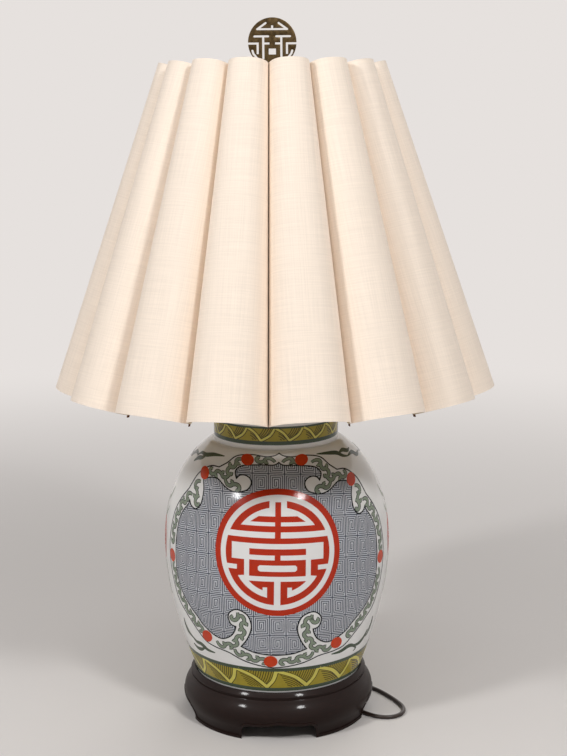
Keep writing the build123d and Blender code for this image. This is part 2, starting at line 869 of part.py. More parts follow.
def medallion_slits():
    """The piercings of a round longevity medallion, left half, as faces about its centre."""

    def bar(x0, x1, z0, z1):
        return Pos((x0 + x1) / 2, (z0 + z1) / 2) * Rectangle(x1 - x0, z1 - z0)

    def slanted(x0, z0, x1, z1):
        length = hypot(x1 - x0, z1 - z0)
        angle = degrees(atan2(z1 - z0, x1 - x0))
        return Pos((x0 + x1) / 2, (z0 + z1) / 2) * Rot(0, 0, angle) * SlotOverall(length, slit)

    r = medallion_radius
    return [
        bar(-15.4, 0.1, 12.5, 14.6),
        slanted(-6.0, 20.4, -16.6, 12.9),
        bar(-1.1, 0.1, 14.0, 17.4),
        slanted(-19.8, 6.2, -3.2, 6.2),
        bar(-10.6, -10.6 + slit, -17.0, 6.2),
        bar(-10.0, -3.0, -2.2, 0.0),
        bar(-3.8, 0.1, -12.5, -6.3),
        bar(-r - 1, -14.3, -2.2, 0.0),
        bar(-14.3 - slit, -14.3, -12.0, 0.0),
        slanted(-21.3, -7.4, -19.6, -12.6),
        slanted(-19.9, -11.6, -15.0, -17.6),
    ]


def make_finial_medallion():
    """A pierced disc, its lower edge cast into the collar."""
    centre_z = collar_top_z - medallion_sunk + medallion_radius
    plate = Circle(medallion_radius)
    for piercing in medallion_slits():
        plate -= piercing
        plate -= mirror(piercing, Plane.YZ)
    disc = Pos(0, 0, centre_z) * extrude(Plane.XZ * plate, medallion_thickness / 2, both=True)
    return disc + make_finial_collar()


# ---------------------------------------------------------------- wiring in the lamp
def make_inner_lead():
    return rod((0, 0, exit_z), (0, 0, pipe_top_z + 3.0), cord_radius)


def make_lead_conductors():
    low = pipe_top_z + 3.0
    wires = []
    for side in (-1, 1):
        path = FilletPolyline(
            (side * conductor_offset, 0, low),
            (side * conductor_offset, 0, low + 3.0),
            (side * (terminal_offset - terminal_radius - 1.3), 0, body_z - 1.6),
            radius=2.5,
        )
        wires.append(tube_along(path, conductor_radius))
    return wires


# ---------------------------------------------------------------- free cord
lay_z = cord_radius + cord_floor_gap
coil_low_z = lay_z + tie_thickness + tie_gap
coil_high_z = coil_low_z + coil_pitch
# from the bushing down to the table, out through the right opening, round behind the stand
lead_route = [
    (0, 0, exit_z),
    (0, 0, 11.5),
    (9, 0, lay_z),
    (28, -3, lay_z),
    (55, -10, lay_z),
    (84, -22, lay_z),
    (107, -44.5, lay_z),
    (124, -48, lay_z),
    (138.5, -38.5, lay_z),
    (142, -21.5, lay_z),
    (135, -3, lay_z),
    (126.5, 13, lay_z),
    (117, 28, lay_z),
    (106, 40, lay_z),
    (98, 61, lay_z),
    (86, 84, lay_z),
    (71, 109, lay_z),
    (54, 131, lay_z),
    (43, 154, lay_z),
    (coil_outer_radius, coil_centre_y - 16, coil_low_z),
    (coil_outer_radius, coil_centre_y, coil_low_z),
]


def rounded_path(route):
    """Straight runs joined by arcs, each as large as its two runs allow."""
    points = [Vector(*p) for p in route]
    radii = []
    for before, corner, after in zip(points, points[1:], points[2:]):
        half_turn = radians((corner - before).get_angle(after - corner)) / 2
        shorter = min((corner - before).length, (after - corner).length)
        radii.append(0.45 * shorter / tan(half_turn))
    return FilletPolyline(*points, radius=radii), radii


def make_cord_lead():
    path, radii = rounded_path(lead_route)
    print("lead bends (mm):", " ".join(f"{r:.0f}" for r in radii))
    print(f"lead length {path.length:.0f} mm")
    return tube_along(path, cord_radius, cord_sides)


def coil_crossings():
    """Where the turns cross the coil's X axis: in along the lower layer, out along the upper."""
    step = coil_pitch / 2
    inward = [coil_outer_radius - step * i for i in range(coil_half_turns + 1)]
    return [(-1) ** i * r for i, r in enumerate(inward + inward[::-1])]


def climbing_arcs(start, end, start_dir, end_dir):
    """Two arcs that meet smoothly, from one point and direction to another."""
    chord = end - start
    both = start_dir + end_dir
    a = both.dot(both) / 4 - 1
    b = -chord.dot(both) / 2
    c = chord.dot(chord) / 4
    if abs(a) < 1e-9:
        arm = -c / b
    else:
        arm = (-b - (b * b - 4 * a * c) ** 0.5) / (2 * a)
    first, last = start + start_dir * arm, end - end_dir * arm
    joint = (first + last) / 2
    return [TangentArc(start, joint, tangent=start_dir), TangentArc(joint, end, tangent=joint - first)]


def coil_path():
    """One unbroken line: half turns inwards, a climb, half turns outwards and a straight tail."""
    xs = coil_crossings()
    edges = []
    for i, (x0, x1) in enumerate(zip(xs, xs[1:])):
        way = 1 if i % 2 == 0 else -1
        z0 = coil_low_z if i <= coil_half_turns else coil_high_z
        z1 = coil_low_z if i < coil_half_turns else coil_high_z
        start = Vector(x0, coil_centre_y, z0)
        end = Vector(x1, coil_centre_y, z1)
        if z0 == z1:
            middle = Vector((x0 + x1) / 2, coil_centre_y + way * abs(x0 - x1) / 2, z0)
            edges.append(ThreePointArc(start, middle, end))
        else:
            direction = Vector(0, way, 0)
            edges += climbing_arcs(start, end, direction, -direction)
    tail_start = Vector(xs[-1], coil_centre_y, coil_high_z)
    edges.append(Line(tail_start, tail_start - Vector(0, tail_length, 0)))
    return Wire(edges)


def least_gap(path, spacing):
    """The least gap between stretches of a tube that lie more than a quarter turn apart."""
    count = ceil(path.length / spacing)
    points = [path @ (i / count) for i in range(count + 1)]
    apart = ceil(0.5 * pi * (coil_outer_radius - coil_half_turns * coil_pitch / 2) / spacing)
    nearest = min(
        (points[i] - points[j]).length for i in range(count) for j in range(i + apart, count + 1)
    )
    return nearest - 2 * cord_radius


def make_cord_coil():
    path = coil_path()
    print(f"coil length {path.length:.0f} mm, least gap {least_gap(path, 2.0):.2f} mm")
    return tube_along(path, cord_radius, cord_sides)


def make_coil_tie():
    """A soft strap round the bundle of turns, at the coil's far side."""
    inner_radius = coil_outer_radius - coil_pitch * coil_half_turns / 2
    low_y = inner_radius - cord_radius - coil_pitch / 4 - tie_gap
    high_y = coil_outer_radius + cord_radius - coil_pitch / 4 + tie_gap
    low_z = coil_low_z - cord_radius - tie_gap
    high_z = coil_high_z + cord_radius + tie_gap
    width, height = high_y - low_y, high_z - low_z
    outline = RectangleRounded(width + 2 * tie_thickness, height + 2 * tie_thickness, 2.5)
    outline -= RectangleRounded(width, height, 1.6)
    section = Plane.YZ * outline
    strap = extrude(section, tie_width / 2, both=True)
    return Pos(0, coil_centre_y + (low_y + high_y) / 2, (low_z + high_z) / 2) * strap


plug_x = coil_crossings()[-1]
plug_y = coil_centre_y - tail_length
plug_z = coil_high_z


def make_plug():
    """A moulded two-pin plug with its ribbed, tapered strain relief."""
    relief = revolve_points(
        (0, 0), (3.4, 0), (5.4, plug_relief_length), (0, plug_relief_length)
    )
    for i in range(4):
        z = 5.0 + 4.6 * i
        radius = 3.4 + 2.0 * z / plug_relief_length
        relief -= ring_solid(2 * radius, radius - 0.9, z, 1.6)
    body = Pos(0, 0, plug_relief_length) * extrude(
        RectangleRounded(plug_width, plug_thickness, plug_corner), plug_length
    )
    neck = loft(
        [
            Pos(0, 0, plug_relief_length - 5.0) * Circle(4.9),
            Pos(0, 0, plug_relief_length) * RectangleRounded(
                plug_width - 3, plug_thickness - 2, plug_corner - 0.6
            ),
        ],
        ruled=True,
    )
    return Pos(plug_x, plug_y, plug_z) * Rot(90, 0, 0) * (relief + neck + body)


def make_plug_blades():
    start = plug_relief_length + plug_length
    blades = []
    for side in (-1, 1):
        blade = Pos(side * blade_spacing / 2, 0, start) * Box(
            blade_thickness,
            blade_height,
            blade_length,
            align=(Align.CENTER, Align.CENTER, Align.MIN),
        )
        eye = Pos(side * blade_spacing / 2, 0, start + blade_length - 4) * Rot(0, 90, 0)
        blades.append(Pos(plug_x, plug_y, plug_z) * Rot(90, 0, 0) * (blade - eye * Cylinder(1.6, 6)))
    return blades


# ---------------------------------------------------------------- the pieces, by name
pieces = {
    "stand": make_stand(),
    "jar": make_jar(),
    "lid": make_lid(),
    "threaded_pipe": make_pipe(),
    "stand_washer": make_stand_washer(),
    "stand_nut": make_stand_nut(),
    "pipe_bushing": make_pipe_bushing(),
    "check_ring": make_check_ring(),
    "brass_neck": make_brass_neck(),
    "harp_saddle": make_harp_saddle(),
    "harp": make_harp(),
    "harp_stud": make_harp_stud(),
    "harp_sleeve_left": make_harp_sleeve(-1),
    "harp_sleeve_right": make_harp_sleeve(1),
    "socket_cap": make_socket_cap(),
    "socket_shell": make_socket_shell(),
    "socket_liner": make_socket_liner(),
    "socket_body": make_socket_body(),
    "screw_shell": make_screw_shell(),
    "centre_contact": make_centre_contact(),
    "terminal_screws": make_terminal_screws(),
    "switch_shaft": make_switch_shaft(),
    "switch_knob": make_switch_knob(),
    "bulb_contact": make_bulb_contact(),
    "bulb_insulator": make_bulb_insulator(),
    "bulb_cap": make_bulb_cap(),
    "bulb_glass": make_bulb_glass(),
    "shade_fabric": make_shade_fabric(),
    "shade_spider": make_shade_spider(),
    "shade_top_ring": make_shade_top_ring(),
    "shade_bottom_ring": make_shade_bottom_ring(),
    "finial_base": make_finial_base(),
    "finial_medallion": make_finial_medallion(),
    "inner_lead": make_inner_lead(),
    "lead_conductors": make_lead_conductors(),
    "cord_lead": make_cord_lead(),
    "cord_coil": make_cord_coil(),
    "coil_tie": make_coil_tie(),
    "plug": make_plug(),
    "plug_blades": make_plug_blades(),
}

os.makedirs("parts", exist_ok=True)
for name, piece in pieces.items():
    solids = []
    for shape in piece if isinstance(piece, list) else [piece]:
        solids += shape.solids()
    export_step(Compound(children=solids) if len(solids) > 1 else solids[0], f"parts/{name}.step")
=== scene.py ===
"""Ginger jar lamp: the finishes, the painted ornament, the fluted linen shade and the cord.

The frame holds the lamp's construction in metres, +Z up, with the origin between the
stand's feet and -Y at the front. Painted shapes are drawn in millimetres on the jar's
unrolled wall: u runs round it from the front towards +X, and v runs up it from the belly.
"""

import random
from bisect import bisect_right
from math import asin, atan, atan2, ceil, cos, degrees, hypot, pi, radians, sin, sqrt, tan

import bmesh
import bpy
from bpy.props import FloatProperty, FloatVectorProperty, IntProperty, PointerProperty
from bpy.types import Operator, Panel, PropertyGroup
from mathutils import Matrix, Vector
from mathutils.bvhtree import BVHTree


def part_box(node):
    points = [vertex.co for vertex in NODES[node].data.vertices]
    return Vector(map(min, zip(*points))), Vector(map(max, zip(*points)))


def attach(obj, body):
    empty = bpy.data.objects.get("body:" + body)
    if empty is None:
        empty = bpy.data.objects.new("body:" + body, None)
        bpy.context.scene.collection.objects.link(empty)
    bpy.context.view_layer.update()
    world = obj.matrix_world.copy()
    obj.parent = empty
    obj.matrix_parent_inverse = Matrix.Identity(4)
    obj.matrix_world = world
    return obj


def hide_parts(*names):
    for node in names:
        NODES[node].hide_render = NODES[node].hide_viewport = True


bl_info = {
    "name": "Ginger Jar Lamp",
    "version": (1, 0, 0),
    "blender": (4, 5, 0),
    "location": "3D View > Sidebar > Lamp",
    "description": "Finishes, painted ornament, linen shade and cord of a ginger jar lamp",
    "category": "Object",
}

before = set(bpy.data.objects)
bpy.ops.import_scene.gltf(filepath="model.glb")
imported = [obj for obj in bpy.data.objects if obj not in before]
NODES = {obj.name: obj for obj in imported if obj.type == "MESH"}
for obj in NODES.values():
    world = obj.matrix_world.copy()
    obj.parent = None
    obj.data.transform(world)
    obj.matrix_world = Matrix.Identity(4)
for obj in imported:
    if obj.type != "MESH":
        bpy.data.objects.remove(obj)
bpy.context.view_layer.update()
MM = 0.001


def linear(code):
    """A linear RGBA colour from an sRGB hex value."""
    channels = [int(code[i:i + 2], 16) / 255 for i in (1, 3, 5)]
    return (*[c / 12.92 if c <= 0.04045 else ((c + 0.055) / 1.055) ** 2.4 for c in channels], 1.0)


def size_prop(name, description, metres):
    return FloatProperty(name=name, description=description, default=metres, unit="LENGTH", precision=5)


def angle_prop(name, description, angle):
    return FloatProperty(name=name, description=description, default=radians(angle), subtype="ANGLE")


def colour_prop(name, description, code):
    return FloatVectorProperty(
        name=name, description=description, default=linear(code), subtype="COLOR", size=4
    )


# ---- settings
class PaintSettings(PropertyGroup):
    glaze: colour_prop("Glaze", "Cool white of the glazed porcelain", "#E7E7E6")
    red: colour_prop("Iron red", "Red of the roundels", "#B42800")
    dot: colour_prop("Orange red", "Brighter red of the border's dots", "#C83A0A")
    green: colour_prop("Green", "Grey-green of the scrolling vine", "#84917F")
    line: colour_prop("Line", "Blue-black of the outlines", "#1F2325")
    ground: colour_prop("Ground", "Pale wash under the fret", "#C2C5CB")
    fret: colour_prop("Fret", "Blue-black of the square spirals", "#424856")
    olive: colour_prop("Olive", "Yellow-green of the two bands", "#A2922A")
    pale_olive: colour_prop("Pale olive", "Light strokes of the two bands", "#D3C95F")
    moss: colour_prop("Moss", "Dark green of the corner leaves and the bands' lines", "#42503F")
    roundel_radius: size_prop("Roundel", "Outer radius of the big roundel", 0.0679)
    ring_width: size_prop("Ring", "Width of the roundel's ring", 0.0065)
    dot_radius: size_prop("Dots", "Radius of the red dots in the border", 0.0073)
    fret_width: size_prop("Fret cell width", "Width of one square spiral", 0.0170)
    fret_height: size_prop("Fret cell height", "Height of one square spiral", 0.022)
    fret_pitch: size_prop("Fret pitch", "From one turn of a square spiral to the next", 0.0021)


class ShadeSettings(PropertyGroup):
    linen: colour_prop("Linen", "Cream of the cover", "#F9EADA")
    lining: colour_prop("Lining", "Warm pale backing inside the cover", "#E6D6B8")
    # Dark brown of the strips behind the seams: painted shade of the creases and the tuck ends.
    seam_shade: colour_prop("Tape", "Brown tape behind the tucks", "#5E3C28")
    flutes: IntProperty(name="Flutes", description="Number of flutes", default=16, min=6, max=40)
    seam_turn: angle_prop("Seam", "Where the front seam stands", -2.0)
    crown_bottom: size_prop("Crown, bottom", "Radius over the flutes at the lower edge", 0.2382)
    crown_top: size_prop("Crown, top", "Radius over the flutes at the upper edge", 0.1204)
    crease_bottom: size_prop("Crease, bottom", "Radius at the seams at the lower edge", 0.2039)
    slant: size_prop("Slant", "Length of a flute", 0.3581)
    board: size_prop("Board", "Thickness of the laminated linen", 0.0012)
    tuck: size_prop("Tuck", "How far the edges are tucked in at a seam", 0.004)


class CordSettings(PropertyGroup):
    colour: colour_prop("Cord", "Dark brown of the flexible vinyl", "#2A1D17")
    diameter: size_prop("Diameter", "Thickness of the cord", 0.0045)
    coil_radius: size_prop("Coil", "Radius of the outermost turn", 0.0376)
    coil_pitch: size_prop("Pitch", "From one turn of the coil to the next", 0.0058)
    coil_centre: size_prop("Coil place", "How far behind the lamp's axis the coil lies", 0.190)


class FinishSettings(PropertyGroup):
    rosewood: colour_prop("Rosewood", "Dark lacquered wood of the stand", "#100806")
    grain: colour_prop("Grain", "Redder streaks in the wood", "#22100B")
    brass: colour_prop("Brass", "Polished brass", "#D9B46A")
    patina: colour_prop("Patina", "Dark antique brass of the finial", "#5A4A32")
    steel: colour_prop("Steel", "Zinc-plated steel", "#B9BABB")
    ivory: colour_prop("Ivory", "Paint on the shade's wires", "#EEE9DC")
    phenolic: colour_prop("Phenolic", "Black moulded resin", "#151210")


class StageSettings(PropertyGroup):
    floor: colour_prop("Floor", "Plain pale floor", "#DDD9D6")
    backdrop: colour_prop("Backdrop", "Plain pale tone behind the lamp", "#E6E1DE")
    fill: FloatProperty(name="Fill", description="Strength of the room's own light", default=0.27)
    lamp_power: FloatProperty(name="Lamps", description="Power of a front lamp", default=18.5, unit="POWER")
    distance: size_prop("Distance", "Camera in front of the lamp's axis", 1.482)
    height: size_prop("Height", "Camera above the table", 0.639)
    focal: FloatProperty(name="Focal length", description="On a 36 mm long side", default=65.31)
    pitch: angle_prop("Pitch", "Downward tilt", 9.99)
    yaw: angle_prop("Yaw", "Turn to the right", 0.34)
    roll: angle_prop("Roll", "Tilt of the picture", -0.49)


class LampSettings(PropertyGroup):
    paint: PointerProperty(type=PaintSettings)
    shade: PointerProperty(type=ShadeSettings)
    cord: PointerProperty(type=CordSettings)
    finish: PointerProperty(type=FinishSettings)
    stage: PointerProperty(type=StageSettings)


# ---- materials
def add_node(tree, kind, inputs=(), **settings):
    """A new node with its settings; an input given as a socket is linked."""
    node = tree.nodes.new(kind)
    for key, value in settings.items():
        setattr(node, key, value)
    for key, value in dict(inputs).items():
        if isinstance(value, bpy.types.NodeSocket):
            tree.links.new(value, node.inputs[key])
        else:
            node.inputs[key].default_value = value
    return node


def new_material(name, colour, roughness, **sockets):
    """A material whose uniform values stand on the shader's own sockets."""
    material = bpy.data.materials.new(name)
    material.use_nodes = True
    tree = material.node_tree
    shader = tree.nodes["Principled BSDF"]
    shader.inputs["Base Color"].default_value = colour
    shader.inputs["Roughness"].default_value = roughness
    for key, value in sockets.items():
        shader.inputs[key.replace("_", " ")].default_value = value
    return material, tree, shader


def scaled(colour, factor):
    return (*[min(1.0, c * factor) for c in colour[:3]], 1.0)


def tint(tree, shader, share, first, second):
    """The base colour runs from one tone to another as the share goes from 0 to 1."""
    mixed = add_node(tree, "ShaderNodeMix", {"Factor": share, "A": first, "B": second}, data_type="RGBA")
    tree.links.new(mixed.outputs["Result"], shader.inputs["Base Color"])


def mottle(tree, shader, colour, size_mm, spread):
    """Varies the base colour, in patches of a real size."""
    place = add_node(tree, "ShaderNodeTexCoord").outputs["Object"]
    noise = add_node(
        tree, "ShaderNodeTexNoise", {"Vector": place, "Scale": 1000 / size_mm, "Detail": 3.0}
    ).outputs["Fac"]
    tint(tree, shader, noise, scaled(colour, 1 - spread), scaled(colour, 1 + spread))
    return noise


def roughen(tree, shader, height, depth_mm, strength=0.5):
    """Bump of a real depth from a height between 0 and 1."""
    bump = add_node(
        tree, "ShaderNodeBump", {"Height": height, "Distance": depth_mm * MM, "Strength": strength}
    )
    tree.links.new(bump.outputs["Normal"], shader.inputs["Normal"])


def glazed_porcelain(colour):
    # Thrown and glazed: a clear hard gloss with a faint slow ripple.
    material, tree, shader = new_material("glazed_porcelain", colour, 0.09, IOR=1.5, Coat_Weight=0.25)
    roughen(tree, shader, mottle(tree, shader, colour, 45, 0.025), 0.12)
    return material


def overglaze_enamel(name, colour):
    # Brushed on and fired: glossy, a little thicker and thinner from stroke to stroke.
    material, tree, shader = new_material(name, colour, 0.16, IOR=1.5, Specular_IOR_Level=0.3)
    roughen(tree, shader, mottle(tree, shader, colour, 5, 0.14), 0.04)
    return material


def lacquered_rosewood(settings):
    # Carved, stained nearly black and lacquered: the grain only shows in the highlights.
    material, tree, shader = new_material(
        "lacquered_rosewood", settings.rosewood, 0.5,
        Specular_IOR_Level=0.1, Coat_Weight=0.2, Coat_Roughness=0.1,
    )
    # Streaks 11 mm long, 90 in a metre, and a sixth as high.
    streaks, flatness = 90, 6
    place = add_node(tree, "ShaderNodeTexCoord").outputs["Object"]
    placed = add_node(tree, "ShaderNodeMapping", {"Vector": place, "Scale": (1, 1, flatness)}).outputs[0]
    grain = add_node(
        tree, "ShaderNodeTexNoise", {"Vector": placed, "Scale": streaks, "Detail": 6.0, "Distortion": 1.2}
    ).outputs["Fac"]
    tint(tree, shader, grain, settings.rosewood, settings.grain)
    roughen(tree, shader, grain, 0.08, 0.4)
    return material


def laminated_linen(colour):
    # Plain weave with slubs. Threads are 0.5 mm, too fine to show, so they are drawn 1.1 mm apart.
    material, tree, shader = new_material("laminated_linen", colour, 0.92, Sheen_Weight=0.15)
    cloth = add_node(tree, "ShaderNodeUVMap", uv_map="cloth").outputs["UV"]
    # In a metre: 900 threads with slubs 70 mm long one way, and 800 with slubs 45 mm long the other.
    warp, weft = (900, 14, 1), (22, 800, 1)
    heights = []
    for scale in (warp, weft):
        placed = add_node(tree, "ShaderNodeMapping", {"Vector": cloth, "Scale": scale}).outputs[0]
        noise = add_node(tree, "ShaderNodeTexNoise", {"Vector": placed, "Scale": 1.0, "Detail": 2.0})
        heights.append(noise.outputs["Fac"])
    threads = add_node(tree, "ShaderNodeMath", {0: heights[0], 1: heights[1]}, operation="ADD").outputs[0]
    level = add_node(
        tree, "ShaderNodeMapRange", {"Value": threads, "From Min": 0.7, "From Max": 1.3}
    ).outputs["Result"]
    tint(tree, shader, level, scaled(colour, 0.93), scaled(colour, 1.03))
    roughen(tree, shader, level, 0.12, 0.6)
    return material


def plain_finish(name, colour, roughness, grit_mm, depth_mm, spread=0.08, **sockets):
    """A finish with a fine texture of one grit: cast, moulded, plated or painted."""
    material, tree, shader = new_material(name, colour, roughness, **sockets)
    roughen(tree, shader, mottle(tree, shader, colour, grit_mm, spread), depth_mm)
    return material


# ---- helpers for pieces
def add_mesh(name, bm, materials, smooth=True):
    """A new object from a bmesh, shaded smooth with its own sharp edges."""
    mesh = bpy.data.meshes.new(name)
    bm.to_mesh(mesh)
    bm.free()
    mesh.polygons.foreach_set("use_smooth", [smooth] * len(mesh.polygons))
    for material in materials:
        mesh.materials.append(material)
    obj = bpy.data.objects.new(name, mesh)
    bpy.context.scene.collection.objects.link(obj)
    return obj


def dress(node, material, edge_mm=0.0, sharp_degrees=32):
    """Gives a CAD node its finish, smooth curved faces and slightly broken edges."""
    obj = NODES[node]
    obj.data.materials.clear()
    obj.data.materials.append(material)
    obj.data.polygons.foreach_set("use_smooth", [True] * len(obj.data.polygons))
    obj.modifiers.new("weld", "WELD").merge_threshold = 1e-6
    if edge_mm:
        bevel = obj.modifiers.new("broken_edges", "BEVEL")
        bevel.width = edge_mm * MM
        bevel.segments = 2
        bevel.limit_method = "ANGLE"
        bevel.angle_limit = radians(sharp_degrees)
        bevel.use_clamp_overlap = True
    obj.modifiers.new("sharp_edges", "EDGE_SPLIT").split_angle = radians(sharp_degrees)


# ---- drawing on the wall
def between(xs, ys, x):
    """Straight interpolation in two rising lists."""
    i = min(max(bisect_right(xs, x) - 1, 0), len(xs) - 2)
    return ys[i] + (ys[i + 1] - ys[i]) * (x - xs[i]) / (xs[i + 1] - xs[i])


class TurnedFace:
    """The outside of a turned node, unrolled: u round it and v up its wall, in millimetres."""

    def __init__(self, node, low, high, datum):
        mesh = NODES[node].data
        self.tree = BVHTree.FromPolygons(
            [v.co for v in mesh.vertices], [tuple(p.vertices) for p in mesh.polygons]
        )
        self.heights = [low + i for i in range(int(high - low) + 1)]
        self.radii = [hypot(*self.hit(0, z).xy) / MM for z in self.heights]
        self.rises = [0.0]
        for r0, r1 in zip(self.radii, self.radii[1:]):
            self.rises.append(self.rises[-1] + hypot(1, r1 - r0))
        zero = between(self.heights, self.rises, datum)
        self.rises = [rise - zero for rise in self.rises]

    def hit(self, angle, z):
        """The wall's point at an angle and a height, seen from well outside it."""
        inward, outside = Vector((-sin(angle), cos(angle), 0)), 0.3
        found = self.tree.ray_cast(Vector((0, 0, z * MM)) - inward * outside, inward)[0]
        if found is None:
            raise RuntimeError(f"the wall has no face at {z:.0f} mm")
        return found

    def place(self, u, v, lift, turn=0.0, girth=None):
        """The point of the wall at (u, v), lifted off it. girth fixes the radius that u is drawn at."""
        z = between(self.rises, self.heights, v)
        radius = between(self.heights, self.radii, z)
        angle = u / (girth or radius) + turn
        slope = between(self.heights, self.radii, z + 1) - between(self.heights, self.radii, z - 1)
        tilt = atan(-slope / 2)
        normal = Vector((sin(angle) * cos(tilt), -cos(angle) * cos(tilt), sin(tilt)))
        return self.hit(angle, z) + normal * lift * MM


def signed_area(outline):
    return sum(a[0] * b[1] - b[0] * a[1] for a, b in zip(outline, outline[1:] + outline[:1])) / 2


WIDE = 3.0  # mm: wide shapes are cut into cells this big, which bend with the wall
SMALL = 50.0  # mm: strokes are short quads already, and are hardly cut
TOUCHING = 0.02  # mm: corners this close are one
SUNK = -0.05  # mm: how far a shape's edge reaches into the glaze


def paint(name, face, outlines, lift, material, turn=0.0, girth=None, cell=WIDE):
    """Enamel shapes laid on a wall, from closed outlines in millimetres."""
    bm = bmesh.new()
    for outline in outlines:
        ordered = outline if signed_area(outline) > 0 else outline[::-1]
        bm.faces.new([bm.verts.new((u, v, 0)) for u, v in ordered])
    bmesh.ops.remove_doubles(bm, verts=bm.verts[:], dist=TOUCHING)
    for axis in (0, 1):
        values = [vert.co[axis] for vert in bm.verts]
        first, last = ceil(min(values) / cell), int(max(values) // cell)
        normal = (1, 0, 0) if axis == 0 else (0, 1, 0)
        for i in range(first, last + 1):
            cut = [i * cell * n for n in normal]
            geometry = bm.verts[:] + bm.edges[:] + bm.faces[:]
            bmesh.ops.bisect_plane(bm, geom=geometry, dist=1e-4, plane_co=cut, plane_no=normal)
    top = bm.verts[:]
    rim = [edge for edge in bm.edges if edge.is_boundary]
    for edge in rim:
        edge.smooth = False
    bmesh.ops.extrude_edge_only(bm, edges=rim)
    for vert in bm.verts:
        vert.co.z = SUNK
    for vert in top:
        vert.co.z = lift
    for vert in bm.verts:
        vert.co = face.place(*vert.co, turn=turn, girth=girth)
    obj = add_mesh(name, bm, [material])
    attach(obj, "base")


def curve_through(points, step=2.0):
    """A smooth line through given points, sampled about a step apart."""
    last = len(points) - 1
    line = []
    for i in range(last):
        p = [points[min(max(i + k, 0), last)] for k in (-1, 0, 1, 2)]
        steps = max(1, ceil(hypot(p[2][0] - p[1][0], p[2][1] - p[1][1]) / step))
        for j in range(steps):
            t = j / steps
            line.append(tuple(
                0.5 * (2 * b + (c - a) * t + (2 * a - 5 * b + 4 * c - d) * t**2
                       + (3 * b - a - 3 * c + d) * t**3)
                for a, b, c, d in zip(*p)
            ))
    return line + [points[-1]]


def stroke(points, width, closed=False):
    """A brush stroke along a line, as quads. width is a number, or a rule of the share along it."""
    count = len(points)
    sides = []
    for i, (x, y) in enumerate(points):
        before = points[i - 1] if i or closed else points[0]
        after = points[(i + 1) % count] if i < count - 1 or closed else points[-1]
        first = Vector((x - before[0], y - before[1]))
        second = Vector((after[0] - x, after[1] - y))
        first = first.normalized() if first.length else second.normalized()
        second = second.normalized() if second.length else first
        mean = (first + second).normalized()
        wide = width(i / (count - 1)) if callable(width) else width
        reach = wide / 2 / max(mean.dot(first), 0.6)
        sides.append(((x - mean.y * reach, y + mean.x * reach), (x + mean.y * reach, y - mean.x * reach)))
    following = sides[1:] + (sides[:1] if closed else [])
    return [[a[0], a[1], b[1], b[0]] for a, b in zip(sides, following)]


def arc(centre, radius, start, end, step=4.0):
    """Points on a circle between two angles in degrees."""
    steps = max(1, ceil(abs(end - start) / step))
    angles = [radians(start + (end - start) * i / steps) for i in range(steps + 1)]
    return [(centre[0] + radius * cos(a), centre[1] + radius * sin(a)) for a in angles]


def mirrored(outlines):
    return [[(-x, y) for x, y in outline[::-1]] for outline in outlines]


def moved(outlines, u, v, factor=1.0, turn=0.0):
    """Outlines scaled, turned and moved on the wall."""
    c, s = cos(turn) * factor, sin(turn) * factor
    return [[(u + x * c - y * s, v + x * s + y * c) for x, y in outline] for outline in outlines]


def inside(point, outline):
    """True if a point lies within a closed outline."""
    x, y = point
    hits = False
    for (x0, y0), (x1, y1) in zip(outline, outline[1:] + outline[:1]):
        if (y0 > y) != (y1 > y) and x < x0 + (y - y0) * (x1 - x0) / (y1 - y0):
            hits = not hits
    return hits


# ---- the ornament's shapes
FIGURE_RADIUS = 55.5  # of the figure inside the ring
INNER_RADIUS = 48.4  # of the inner edge of its arcs
HOOK_RADIUS = 42.0  # of the inner edge of its lower hooks
ROUNDEL_PLACE = (0.5, 16.7)
ROUNDEL_TILT = radians(-1.2)


def at_height(radius, y):
    """The angle in degrees at which the left half of a circle passes a height."""
    return 180 - degrees(asin(y / radius))


def at_left(radius, x, end):
    """The angle at which a circle passes x left of its centre: at its top (1) or its foot (-1)."""
    return 180 - end * degrees(atan2(sqrt(radius**2 - x**2), x))


def longevity_figure():
    """The traditional round longevity figure: red shapes about its centre."""
    outer, inner, hook = FIGURE_RADIUS, INNER_RADIUS, HOOK_RADIUS
    top, foot = 1, -1

    def on(radius, start, end):
        return arc((0, 0), radius, start, end)

    half = [(0, 53.6), (-3, 53.6), (-3, 38.8), (-20, 38.8), (-29, 32.8), (-3, 32.8), (-3, 28.8)]
    half += on(inner, at_height(inner, 28.8), at_left(inner, 9, top))
    half += on(outer, at_left(outer, 9, top), at_height(outer, 22.6))
    half += [(-3, 22.6), (-3, 16.4)]
    half += on(outer, at_height(outer, 16.4), at_height(outer, -12.9))
    half += [(-42.8, -12.9), (-42.8, -18.0)]
    half += on(outer, at_height(outer, -18.0), at_left(outer, 3.3, foot))
    half += [(-3.3, -29.3)]
    half += on(hook, at_height(hook, -29.3), at_left(hook, 15.2, foot))
    half += [(-15.2, -35.8), (-10.5, -35.8)]
    half += on(inner, at_left(inner, 10.5, foot), at_height(inner, -24.7))
    half += [(-34.9, -23.6), (-34.9, -6.7), (-48.6, -6.7), (-48.6, 10.6), (0, 10.6)]
    box = [(0, 5.1), (-29.5, 5.1), (-29.5, -1.4), (-3, -1.4), (-3, -6.5), (-29.5, -6.5), (-29.5, -24)]
    box += [(0, -24), (0, -18.7), (-18.4, -18.7), (-20.3, -17), (-20.3, -13.7), (-18.4, -12), (0, -12)]
    shapes = [half, box]
    return shapes + mirrored(shapes)


PANEL_PLACE = (-1.5, -3.0, 1.0, radians(-2.0))  # u, v, scale and turn
